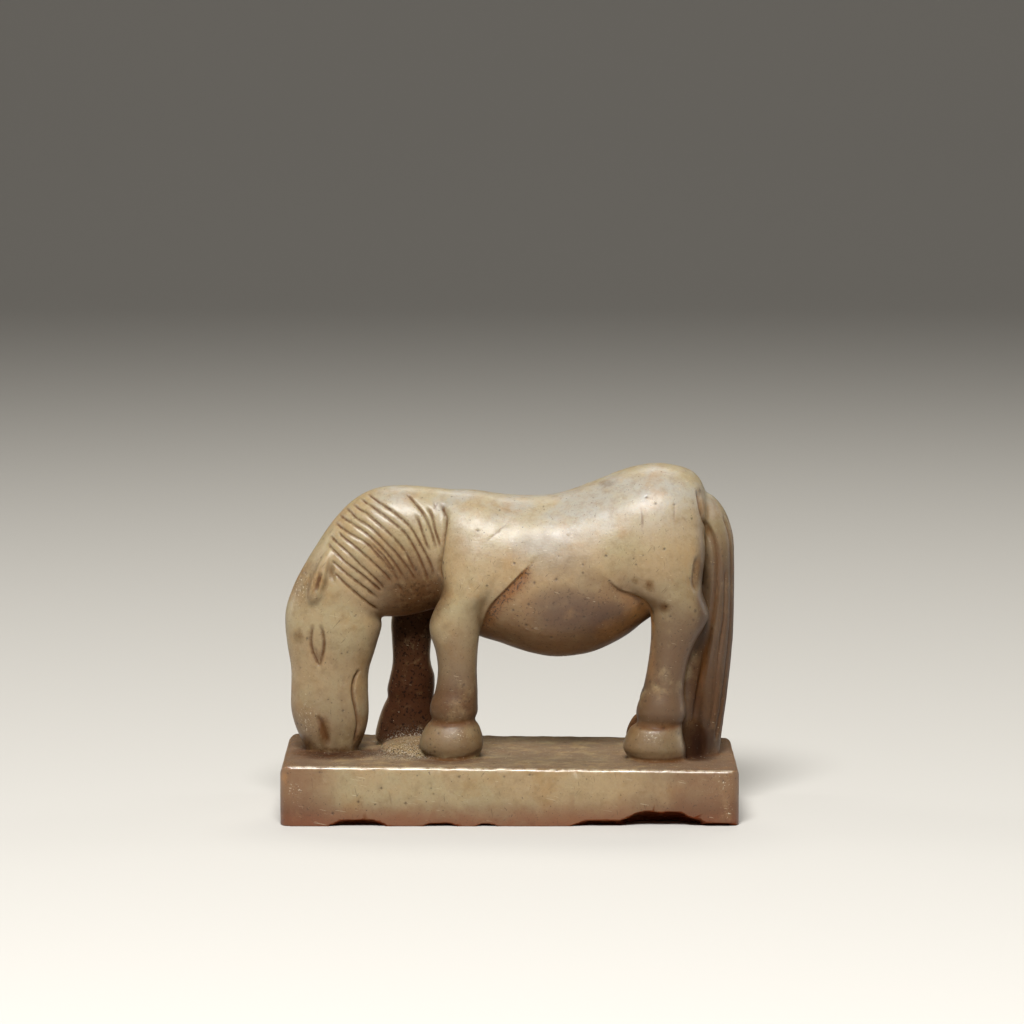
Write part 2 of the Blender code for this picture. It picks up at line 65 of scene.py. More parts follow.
# %% [markdown]
# The photograph is taken from the horse's left side through a long lens, from a little
# above the back. The far edge of the block is only 34 pixels higher than the near edge,
# which gives the tilt, and the block narrows very little, which gives the distance.

# %% Camera
CAMERA_DISTANCE = 0.620
CAMERA_TILT = math.radians(6.7)
aim = Vector((0.0003, 0.0, 0.0368))

bpy.ops.object.camera_add(
    location=aim + CAMERA_DISTANCE * Vector((0, -math.cos(CAMERA_TILT), math.sin(CAMERA_TILT))),
    rotation=(math.pi / 2 - CAMERA_TILT, 0, 0),
)
camera = bpy.context.object
camera.name = "camera"
camera.data.sensor_width = 36
camera.data.lens = 178
camera.data.clip_start = 0.01
bpy.context.scene.camera = camera

# %% [markdown]
# The horse is drawn as cross-sections, in millimetres: X runs from the middle of the block
# towards the tail, Z up from the top of the block. A section is egg-shaped: it has a point
# on the outline in front or above, one behind or below, a half width, the place of its
# middle across the horse, and how far along it is widest.

# %% The drawing of the body and the head
HORSE_SIZE = np.array((55.1, 15.8, 35.7)) * MM
BLOCK_TOP = 7.1 * MM

BARREL = (
    (-9.6, 30.6, -9.0, 18.6, 3.0, 0, 0.45),
    (-8.2, 32.3, -7.6, 16.4, 4.9, 0, 0.47),
    (-5.0, 32.5, -4.6, 14.8, 6.4, 0, 0.52),
    (-1.0, 32.0, -1.0, 13.6, 7.0, 0, 0.57),
    (3.0, 31.8, 3.0, 12.3, 7.6, 0, 0.60),
    (6.5, 32.2, 6.5, 11.9, 7.9, 0, 0.60),
    (10.5, 33.6, 10.5, 12.6, 7.9, 0, 0.56),
    (14.0, 35.0, 14.0, 14.3, 7.6, 0, 0.50),
    (17.3, 35.7, 16.8, 16.4, 7.3, 0, 0.45),
    (20.4, 35.5, 19.4, 18.4, 6.9, 0, 0.45),
    (22.8, 34.5, 21.7, 20.5, 5.9, 0, 0.45),
    (24.0, 32.4, 23.2, 22.5, 4.1, 0, 0.47),
    (24.3, 29.7, 23.8, 25.4, 1.7, 0, 0.50),
)
NECK_AND_HEAD = (
    (-6.0, 32.4, -6.2, 17.5, 4.2, 0, 0.42),
    (-9.5, 32.8, -8.6, 17.8, 4.4, 0, 0.40),
    (-12.7, 33.0, -10.8, 17.3, 4.5, 0, 0.38),
    (-15.8, 32.8, -12.8, 16.9, 4.6, 0, 0.38),
    (-18.7, 31.5, -14.3, 16.8, 4.5, 0, 0.38),
    (-21.2, 29.1, -15.2, 16.8, 4.4, 0, 0.38),
    (-23.2, 26.3, -15.6, 16.8, 4.3, 0, 0.40),
    (-25.0, 23.4, -15.7, 16.7, 4.2, 0, 0.43),
    (-26.4, 20.7, -15.7, 16.4, 4.1, 0, 0.47),
    (-27.3, 18.1, -15.6, 15.8, 4.1, 0, 0.52),
    (-27.5, 15.6, -15.9, 14.5, 4.0, 0, 0.55),
    (-27.2, 13.0, -16.5, 12.5, 3.6, 0, 0.58),
    (-26.8, 10.4, -17.2, 10.1, 3.2, 0, 0.56),
    (-26.8, 7.7, -17.3, 7.6, 3.1, 0, 0.52),
    (-26.8, 5.3, -17.2, 5.3, 3.2, 0, 0.50),
    (-26.2, 3.0, -17.5, 3.0, 3.1, 0, 0.50),
    (-25.2, 0.9, -18.3, 0.9, 2.8, 0, 0.50),
    (-24.2, -0.9, -19.1, -0.9, 2.4, 0, 0.50),
)

# %% The drawing of the limbs: height, front x, back x, half width, distance from the middle
NEAR_FORELEG = (
    (31.0, -6.0, -1.5, 1.3, 2.4),
    (28.8, -7.7, 0.4, 1.9, 3.1),
    (25.8, -8.2, 1.6, 2.6, 3.8),
    (22.5, -8.2, 1.1, 2.9, 4.2),
    (20.4, -8.1, -1.1, 3.0, 4.2),
    (18.5, -9.0, -2.8, 2.8, 4.2),
    (16.7, -9.7, -3.4, 2.7, 4.2),
    (15.1, -9.6, -3.6, 2.5, 4.2),
    (13.2, -9.0, -3.8, 2.2, 4.2),
    (10.8, -8.7, -3.9, 2.0, 4.2),
    (8.3, -9.0, -3.8, 2.1, 4.2),
    (6.7, -9.6, -3.8, 2.5, 4.2),
    (5.6, -9.7, -3.8, 2.5, 4.2),
    (4.7, -9.4, -4.2, 2.2, 4.2),
    (4.1, -10.0, -3.7, 2.6, 4.2),
    (2.6, -10.8, -3.2, 3.1, 4.2),
    (1.3, -10.9, -3.2, 3.1, 4.2),
    (0.3, -10.3, -3.6, 2.8, 4.2),
    (-0.9, -9.9, -4.0, 2.5, 4.2),
)
FAR_FORELEG = (
    (31.0, -6.0, -1.5, 1.3, 2.4),
    (28.8, -8.0, 0.4, 2.3, 3.1),
    (25.8, -9.4, 1.2, 2.9, 3.8),
    (22.5, -11.2, -0.4, 3.0, 4.1),
    (20.0, -13.2, -4.0, 2.8, 4.2),
    (17.5, -14.2, -7.6, 2.6, 4.2),
    (15.5, -14.6, -9.0, 2.4, 4.2),
    (13.3, -14.5, -9.6, 2.2, 4.2),
    (10.7, -14.4, -9.7, 2.1, 4.2),
    (8.9, -14.7, -9.2, 2.2, 4.2),
    (7.2, -15.1, -9.2, 2.4, 4.2),
    (6.2, -15.0, -9.3, 2.3, 4.2),
    (5.4, -15.4, -9.2, 2.5, 4.2),
    (3.6, -16.1, -8.9, 2.8, 4.2),
    (1.3, -16.6, -8.6, 3.0, 4.2),
    (0.3, -16.1, -9.0, 2.8, 4.2),
    (-0.9, -15.7, -9.3, 2.6, 4.2),
)
HIND_LEG = (
    (33.0, 14.6, 20.8, 1.8, 3.0),
    (31.0, 12.6, 22.4, 3.0, 3.5),
    (28.5, 11.3, 23.5, 3.4, 3.9),
    (25.5, 10.4, 23.9, 3.6, 4.2),
    (22.6, 11.4, 23.6, 3.4, 4.4),
    (20.6, 13.8, 23.5, 3.2, 4.4),
    (18.9, 16.6, 24.1, 2.9, 4.4),
    (17.5, 17.2, 24.4, 2.7, 4.4),
    (16.0, 17.3, 23.7, 2.5, 4.4),
    (13.9, 17.2, 22.5, 2.2, 4.4),
    (11.4, 16.9, 21.7, 2.1, 4.4),
    (8.3, 16.3, 21.3, 2.2, 4.4),
    (6.6, 15.7, 21.5, 2.5, 4.4),
    (5.5, 15.5, 21.6, 2.5, 4.4),
    (4.4, 15.7, 21.2, 2.2, 4.4),
    (3.7, 14.8, 21.1, 2.7, 4.4),
    (2.4, 14.1, 21.3, 3.0, 4.4),
    (1.2, 13.9, 21.6, 3.1, 4.4),
    (0.3, 14.4, 21.6, 2.8, 4.4),
    (-0.9, 14.9, 21.6, 2.6, 4.4),
)
FAR_HIND_SHIFT = 0.6
TAIL = (
    (32.4, 22.0, 23.8, 1.0, 0),
    (31.5, 22.3, 25.2, 1.8, 0),
    (29.8, 22.6, 26.5, 2.5, 0),
    (27.0, 22.7, 27.4, 2.9, 0),
    (23.5, 22.7, 27.6, 3.1, 0),
    (19.5, 22.8, 27.6, 3.1, 0),
    (14.5, 22.4, 27.5, 2.9, 0),
    (9.0, 21.9, 27.0, 2.7, 0),
    (4.0, 21.7, 26.4, 2.4, 0),
    (1.0, 21.7, 26.0, 2.2, 0),
    (-0.9, 21.7, 25.8, 2.2, 0),
)
WEB_TO_TAIL = (
    (21.0, 19.0, 24.5, 3.4, 0),
    (15.0, 18.8, 24.8, 3.6, 0),
    (9.0, 18.4, 24.6, 3.6, 0),
    (5.0, 18.2, 24.4, 3.6, 0),
    (1.5, 18.6, 24.2, 3.4, 0),
    (-0.9, 18.6, 24.2, 3.4, 0),
)
EAR = (
    (18.0, -24.0, -23.2, 0.4, 2.6),
    (19.4, -24.6, -22.7, 1.0, 3.2),
    (21.2, -24.3, -22.2, 1.1, 3.3),
    (23.0, -23.6, -21.8, 1.0, 3.2),
    (24.6, -22.7, -21.3, 0.8, 3.1),
    (26.0, -21.8, -21.2, 0.3, 2.9),
)

# %% [markdown]
# Every form starts as a straight tube: a cylinder whose upright edges are subdivided into
# rings. Each ring is then moved on to its section. A plain scale can't do that, because
# the sections are egg-shaped and lean with the neck, so the vertices are placed in code:
# a vertex knows its ring by its height and its place on the section by its angle.

# %% From a tube to a form
def deselect():
    for chosen in list(bpy.context.selected_objects):
        chosen.select_set(False)


def pick(*objects):
    """Selects these objects alone and makes the first one active."""
    deselect()
    for chosen in objects:
        chosen.select_set(True)
    bpy.context.view_layer.objects.active = objects[0]


def select_edges(obj, test):
    """Goes into edit mode with those edges selected whose two ends pass the test."""
    bpy.ops.object.mode_set(mode="EDIT")
    bpy.ops.mesh.select_mode(type="EDGE")
    bpy.ops.mesh.select_all(action="DESELECT")
    bpy.ops.object.mode_set(mode="OBJECT")
    for edge in obj.data.edges:
        edge.select = test(*(obj.data.vertices[v].co for v in edge.vertices))
    bpy.ops.object.mode_set(mode="EDIT")


def smooth_path(points, steps):
    """Rows of numbers from a smooth curve through the given rows (Catmull-Rom)."""
    rows = np.array(points, float)
    padded = np.vstack([2 * rows[0] - rows[1], rows, 2 * rows[-1] - rows[-2]])
    out = []
    for before, start, end, after in zip(padded, padded[1:], padded[2:], padded[3:]):
        for t in np.arange(steps) / steps:
            out.append(0.5 * (2 * start + (end - before) * t
                              + (2 * before - 5 * start + 4 * end - after) * t**2
                              + (3 * start - before - 3 * end + after) * t**3))
    return np.array(out + [rows[-1]])


def read(mesh, what="co"):
    """The places or the normals of all vertices, one row each."""
    rows = np.empty(len(mesh.vertices) * 3)
    mesh.vertices.foreach_get(what, rows)
    return rows.reshape(-1, 3)


def write(mesh, places):
    mesh.vertices.foreach_set("co", places.ravel())
    mesh.update()


def tube_through(name, sections, sides=48, steps=8):
    rings = smooth_path(sections, steps)
    count = len(rings)
    deselect()
    bpy.ops.mesh.primitive_cylinder_add(
        vertices=sides, radius=1, depth=count - 1, location=(0, 0, 0))
    form = bpy.context.object
    form.name = name
    select_edges(form, lambda a, b: abs(a.z - b.z) > 0.5)
    bpy.ops.mesh.subdivide(number_cuts=count - 2)
    bpy.ops.object.mode_set(mode="OBJECT")
    x, y, z = read(form.data).T
    ax, az, bx, bz, half, middle, widest = rings[np.round(z + (count - 1) / 2).astype(int)].T
    turn = np.arctan2(y, x)
    along = -np.cos(turn)
    share = widest + along * np.where(along < 0, widest, 1 - widest)
    placed = np.stack([ax + (bx - ax) * share, middle + half * np.sin(turn),
                       az + (bz - az) * share], axis=1) * MM
    placed[:, 2] += BLOCK_TOP
    write(form.data, placed)
    bpy.ops.object.mode_set(mode="EDIT")
    bpy.ops.mesh.select_all(action="SELECT")
    bpy.ops.mesh.normals_make_consistent(inside=False)
    bpy.ops.object.mode_set(mode="OBJECT")
    return form


def upright(table, side=1, shift=0.0):
    """Sections of a limb from its short table."""
    return [(front + shift, z, back + shift, z, half, side * apart, 0.5)
            for z, front, back, half, apart in table]


# %% Rough the horse out of closed forms
forms = [
    tube_through("barrel", BARREL, sides=64),
    tube_through("neck_and_head", NECK_AND_HEAD, sides=64),
    tube_through("tail", upright(TAIL)),
    tube_through("web_to_tail", upright(WEB_TO_TAIL)),
    tube_through("near_foreleg", upright(NEAR_FORELEG, NEAR)),
    tube_through("far_foreleg", upright(FAR_FORELEG, FAR)),
    tube_through("near_hind_leg", upright(HIND_LEG, NEAR)),
    tube_through("far_hind_leg", upright(HIND_LEG, FAR, FAR_HIND_SHIFT)),
    tube_through("near_ear", upright(EAR, NEAR), sides=24),
    tube_through("far_ear", upright(EAR, FAR), sides=24),
]
deselect()
bpy.ops.mesh.primitive_ico_sphere_add(
    subdivisions=4, radius=1, location=(-11.4 * MM, 0.2 * MM, BLOCK_TOP + 0.1 * MM))
lump = bpy.context.object
lump.name = "rough_lump"
bpy.ops.object.mode_set(mode="EDIT")
bpy.ops.transform.resize(value=(4.6 * MM, 5.4 * MM, 1.7 * MM), center_override=lump.location)
bpy.ops.object.mode_set(mode="OBJECT")
forms.append(lump)
print("forms:", [(form.name, len(form.data.vertices)) for form in forms])

# %% [markdown]
# A carver leaves no seam where a leg meets the belly. A voxel remesh gives all the forms
# one skin, and smoothing lets that skin flow round the armpits. The melted horse shrinks
# a little, so it is stretched back to its measured length, width and height.

# %% Melt the forms into one horse
GRAIN = 0.14 * MM
SOFTENING = 0.48 * MM


def join(parts):
    pick(*parts)
    bpy.ops.object.join()
    return parts[0]


def finish_modifier(obj):
    pick(obj)
    bpy.ops.object.modifier_apply(modifier=obj.modifiers[0].name)


def remesh(obj, grain):
    skin = obj.modifiers.new("one_skin", "REMESH")
    skin.mode = "VOXEL"
    skin.voxel_size = grain
    finish_modifier(obj)


def soften(obj, passes, group=""):
    relax = obj.modifiers.new("relax", "SMOOTH")
    relax.factor = 0.5
    relax.iterations = passes
    relax.vertex_group = group
    finish_modifier(obj)


def add_group(obj, name, weights):
    """A vertex group with these weights, one for each vertex."""
    group = obj.vertex_groups.new(name=name)
    for step in range(1, 11):
        group.add(np.flatnonzero(np.round(weights * 10) == step).tolist(), step / 10, "REPLACE")


horse = join(forms)
horse.name = "horse"
bpy.ops.object.transform_apply(location=True, rotation=True, scale=True)
remesh(horse, GRAIN)
soften(horse, round(2 * (SOFTENING / GRAIN) ** 2))

places = read(horse.data)
low, high = places.min(0), places.max(0)
middle = np.array([*(low + high)[:2] / 2, BLOCK_TOP])
reach = np.array([*(high - low)[:2], high[2] - BLOCK_TOP])
write(horse.data, np.array((0, 0, BLOCK_TOP)) + (places - middle) * HORSE_SIZE / reach)
print("horse:", len(horse.data.vertices), "vertices, stretched by", HORSE_SIZE / reach)

# %% [markdown]
# On the shoulder and the thigh the tops of the legs still show as ledges, and the polished
# flank has none. The skin is smoothed further there and nowhere else: a vertex group
# holds how much of the smoothing each vertex takes.

# %% Melt the shoulders and the thighs
x, y, z = (read(horse.data) / MM).T
z -= BLOCK_TOP / MM
upper = np.clip((np.abs(y) - 2.0) / 1.5, 0, 1) * np.clip((z - 20.5) / 3.0, 0, 1)
add_group(horse, "flank", upper * np.clip((x + 7.2) / 1.5, 0, 1) * np.clip((22.0 - x) / 1.5, 0, 1))
soften(horse, round(4.0 / (GRAIN / MM) ** 2), "flank")
horse.vertex_groups.clear()

# %% [markdown]
# The block was sawn and ground flat, then handled until its edges went round. Three cubes,
# each brought to size and bevelled along other edges, have the block in common: one rounds
# its upright corners, one its two ends and one its long top edges. The top falls a little
# towards the tail.

# %% The block under the horse
BLOCK_LENGTH, BLOCK_DEPTH, BLOCK_FALL = 55.5 * MM, 25.0 * MM, 0.6 * MM
CORNER_ROUND, HEAD_END_ROUND, TAIL_END_ROUND, EDGE_ROUND = 1.5 * MM, 1.2 * MM, 0.7 * MM, 0.45 * MM
NEARLY = 0.99


def bevelled_cube(size, rounds):
    """A cube standing on the origin; rounds pairs a radius with a test that picks edges."""
    deselect()
    bpy.ops.mesh.primitive_cube_add(size=1, location=(0, 0, 0))
    cube = bpy.context.object
    bpy.ops.object.mode_set(mode="EDIT")
    bpy.ops.transform.resize(value=size)
    bpy.ops.transform.translate(value=(0, 0, size[2] / 2))
    for radius, test in rounds:
        select_edges(cube, test)
        bpy.ops.mesh.bevel(offset=radius, segments=10)
    bpy.ops.object.mode_set(mode="OBJECT")
    return cube


def combine(obj, other, operation="DIFFERENCE"):
    """A Boolean with a solid that is then done with."""
    cut = obj.modifiers.new("combine", "BOOLEAN")
    cut.operation = operation
    cut.object = other
    cut.solver = "EXACT"
    finish_modifier(obj)
    bpy.data.objects.remove(other)


def is_upright(a, b):
    return abs(a.z - b.z) > BLOCK_TOP / 2


def is_on_top(a, b):
    return min(a.z, b.z) > NEARLY * BLOCK_TOP


def is_end(side):
    """The test for the top edge across the end on that side."""
    return lambda a, b: is_on_top(a, b) and min(side * a.x, side * b.x) > NEARLY * BLOCK_LENGTH / 2


def is_long_top(a, b):
    return is_on_top(a, b) and abs(a.x - b.x) > BLOCK_LENGTH


block = bevelled_cube((BLOCK_LENGTH, BLOCK_DEPTH, 2 * BLOCK_TOP), [(CORNER_ROUND, is_upright)])
block.name = "block"
ends = bevelled_cube((BLOCK_LENGTH, 2 * BLOCK_DEPTH, BLOCK_TOP),
                     [(HEAD_END_ROUND, is_end(-1)), (TAIL_END_ROUND, is_end(1))])
edges = bevelled_cube((2 * BLOCK_LENGTH, BLOCK_DEPTH, BLOCK_TOP), [(EDGE_ROUND, is_long_top)])
combine(block, ends, "INTERSECT")
combine(block, edges, "INTERSECT")
places = read(block.data)
places[:, 2] -= BLOCK_FALL * places[:, 0] / BLOCK_LENGTH * places[:, 2] / BLOCK_TOP
write(block.data, places)
print("block:", len(block.data.vertices), "vertices")

# %% [markdown]
# The chips along the foot are scoops: rough balls, flattened and taken away. The largest,
# under the hind hooves, reaches 4 mm in under the block.

# %% Chips: middle along the block, edge, half length, bite, rise
CHIPS = (
    (-18.3, NEAR, 3.4, 1.6, 0.8),
    (-8.3, NEAR, 2.0, 1.2, 0.4),
    (-2.8, NEAR, 1.2, 1.0, 0.3),
    (11.1, NEAR, 3.4, 1.7, 0.7),
    (18.4, NEAR, 5.0, 4.0, 1.8),
    (24.8, NEAR, 2.6, 1.3, 0.4),
    (-12.5, FAR, 3.0, 1.6, 0.7),
    (9.7, FAR, 2.2, 1.4, 0.5),
)
for n, (x, side, length, bite, rise) in enumerate(CHIPS):
    deselect()
    bpy.ops.mesh.primitive_ico_sphere_add(subdivisions=4, radius=1, location=(0, 0, 0))
    scoop = bpy.context.object
    for vertex in scoop.data.vertices:
        rough = noise.noise(vertex.co * 1.7 + Vector((7.3 * n, 1.1, 2.9)))
        fine = noise.noise(vertex.co * 6.0 + Vector((3.1 * n, 5.0, 0.4)))
        vertex.co *= 1 + 0.22 * rough + 0.07 * fine
    scoop.scale = (length * MM, bite * MM, rise * MM)
    scoop.location = (x * MM, side * BLOCK_DEPTH / 2, 0)
    bpy.ops.object.transform_apply(location=True, rotation=True, scale=True)
    combine(block, scoop)
print("block with chips:", len(block.data.vertices), "vertices")

# %% [markdown]
# The underside is the sealing face. The photograph doesn't show it, so it gets a sunk
# frame line and rows of paired strokes that say nothing. Each stroke is a cube brought to
# its size, and one Boolean sinks them all.

# %% The seal face
SEAL_BORDER, SEAL_LINE, SEAL_DEPTH = 2.2 * MM, 0.6 * MM, 0.5 * MM
SEAL_ROWS, SEAL_COLUMNS = 3, 7
STROKE_SHIFT, STROKE_SHARE = 0.22, 0.68


def bar(x, y, length, depth, height=SEAL_DEPTH):
    deselect()
    bpy.ops.mesh.primitive_cube_add(size=2, location=(x, y, 0))
    made = bpy.context.object
    made.scale = (length / 2, depth / 2, height)
    bpy.ops.object.transform_apply(location=True, rotation=True, scale=True)
    return made


bars = []
inset = SEAL_BORDER + 2 * SEAL_LINE
cell = ((BLOCK_LENGTH - 2 * inset) / SEAL_COLUMNS, (BLOCK_DEPTH - 2 * inset) / SEAL_ROWS)
for column in range(SEAL_COLUMNS):
    for row in range(SEAL_ROWS):
        middle = ((column - (SEAL_COLUMNS - 1) / 2) * cell[0], (row - (SEAL_ROWS - 1) / 2) * cell[1])
        along = (column + row) % 2
        for side in (-1, 1):
            spot, size = list(middle), [SEAL_LINE, SEAL_LINE]
            spot[1 - along] += side * cell[1 - along] * STROKE_SHIFT
            size[along] = cell[along] * STROKE_SHARE
            bars.append(bar(*spot, *size))
combine(block, join(bars))
print("seal face:", 2 * SEAL_ROWS * SEAL_COLUMNS, "strokes")

outer = (BLOCK_LENGTH - 2 * SEAL_BORDER, BLOCK_DEPTH - 2 * SEAL_BORDER)
frame_line = bar(0, 0, *outer)
combine(frame_line, bar(0, 0, *(length - 2 * SEAL_LINE for length in outer), 2 * SEAL_DEPTH))
combine(block, frame_line)

# %% [markdown]
# Horse and block are one stone, so they get one skin too. After this remesh every vertex
# sits about the same distance from the next, which the carving below relies on.

# %% One stone
stone = join([horse, block])
stone.name = "jade_seal"
remesh(stone, GRAIN)
soften(stone, round(0.06 / (GRAIN / MM) ** 2))
print("stone:", len(stone.data.vertices), "vertices")

# %% [markdown]
# Stone that was worked by hand is never quite even: the flanks ripple a little and the
# long edges wander. Three Displace modifiers with cloud noise do that: broad and faint over
# everything, stronger along the block's top edges, and fine and harsh in the patch between
# muzzle and hoof that the carver left unpolished.

# %% Hand-worked unevenness
rng = np.random.default_rng(11)


def blob(places, middle, reach):
    """1 at the middle and 0 from the reach outwards, for every place; both in mm."""
    away = (places / MM - (middle[0], middle[1], middle[2] + BLOCK_TOP / MM)) / reach
    return np.clip(1 - (away ** 2).sum(1), 0, 1)


def ripple(obj, size, strength, group=""):
    clouds = bpy.data.textures.new("ripple", "CLOUDS")
    clouds.noise_scale = size
    clouds.noise_depth = 2
    wave = obj.modifiers.new("ripple", "DISPLACE")
    wave.texture = clouds
    wave.texture_coords = "LOCAL"
    wave.strength = strength
    wave.mid_level = 0.5
    wave.vertex_group = group
    finish_modifier(obj)


places = read(stone.data)
unpolished = blob(places, (-12.6, -3.2, 0.3), (5.5, 5.0, 1.8))
unpolished = np.maximum(unpolished, blob(places, (-10.5, 1.0, 0.6), (6.0, 6.0, 2.4)))
unpolished = np.clip(1.25 * unpolished, 0, 1)
top_edge = sum(blob(places, (0, 12.5 * side, 0), (60, 1.0, 1.0)) for side in (NEAR, FAR))
add_group(stone, "unpolished_group", unpolished)
add_group(stone, "top_edge", np.clip(top_edge, 0, 1))
ripple(stone, 3.0 * MM, 0.10 * MM)
ripple(stone, 2.2 * MM, 0.26 * MM, "top_edge")
ripple(stone, 0.35 * MM, 0.16 * MM, "unpolished_group")
stone.vertex_groups.clear()
print("unpolished vertices:", int((unpolished > 0.02).sum()))

# %% [markdown]
# Hair, eyes, nostrils and mouth were cut with a small grinding wheel, which leaves a
# V-shaped groove that runs out at both ends. Each cut is a line in the side view, read off
# the photograph. The mane comes first: the strokes fan out from the crest and run
# together on the brown throat. They were read off the neck, enlarged eleven times, so they
# are written as pixels of that picture and turned into the horse's millimetres here.

# %% Strokes of the mane: pixels across and down the enlarged neck
MANE_ON_PHOTO = (
    ((80, 655), (150, 730), (290, 860), (450, 980), (610, 1120), (680, 1190)),
    ((110, 575), (180, 640), (320, 760), (480, 905), (650, 1080), (705, 1170)),
    ((195, 535), (260, 590), (400, 685), (560, 830), (720, 990), (785, 1090)),
    ((160, 445), (240, 490), (330, 540), (520, 650), (650, 780), (800, 960), (867, 1080)),
    ((205, 365), (280, 400), (360, 440), (530, 550), (680, 690), (830, 870), (940, 1060)),
    ((270, 285), (330, 320), (400, 370), (560, 475), (720, 620), (870, 780), (1000, 970), (1045, 1060)),
    ((360, 240), (430, 285), (520, 330), (680, 450), (820, 590), (960, 770), (1070, 1010)),
    ((440, 175), (510, 220), (600, 270), (800, 410), (950, 540), (1060, 720), (1150, 930), (1190, 1060)),
    ((525, 130), (590, 165), (680, 220), (850, 325), (1000, 470), (1110, 660), (1220, 870), (1260, 1010)),
    ((960, 120), (1020, 185), (1140, 320), (1220, 490), (1280, 700)),
    ((1060, 330), (1090, 410), (1120, 490), (1150, 560), (1180, 650), (1225, 740)),
    ((1180, 250), (1220, 310), (1250, 380), (1270, 480), (1300, 600), (1330, 700)),
    ((1345, 220), (1370, 290), (1392, 370), (1392, 450), (1370, 560), (1340, 680)),
    ((125, 840), (190, 895), (330, 1010), (480, 1120), (640, 1270)),
    ((140, 960), (220, 1030), (390, 1190), (550, 1330), (640, 1400)),
    ((570, 640), (640, 720), (710, 800), (790, 910), (850, 1010)),
    ((850, 1090), (890, 1150), (925, 1215)),
    ((1130, 880), (1165, 980), (1190, 1100)),
)
MARK, MARK_ON_PHOTO, PIXELS_PER_MM = (-22, 32), (97, 141), (90.64, 89.32)


def off_photo(across, down):
    """The x and z, to a tenth of a millimetre, of a pixel of the enlarged photograph."""
    x = MARK[0] + (across - MARK_ON_PHOTO[0]) / PIXELS_PER_MM[0]
    z = MARK[1] - (down - MARK_ON_PHOTO[1]) / PIXELS_PER_MM[1]
    return round(x, 1), round(z, 1)


MANE = [[off_photo(*spot) for spot in stroke] for stroke in MANE_ON_PHOTO]

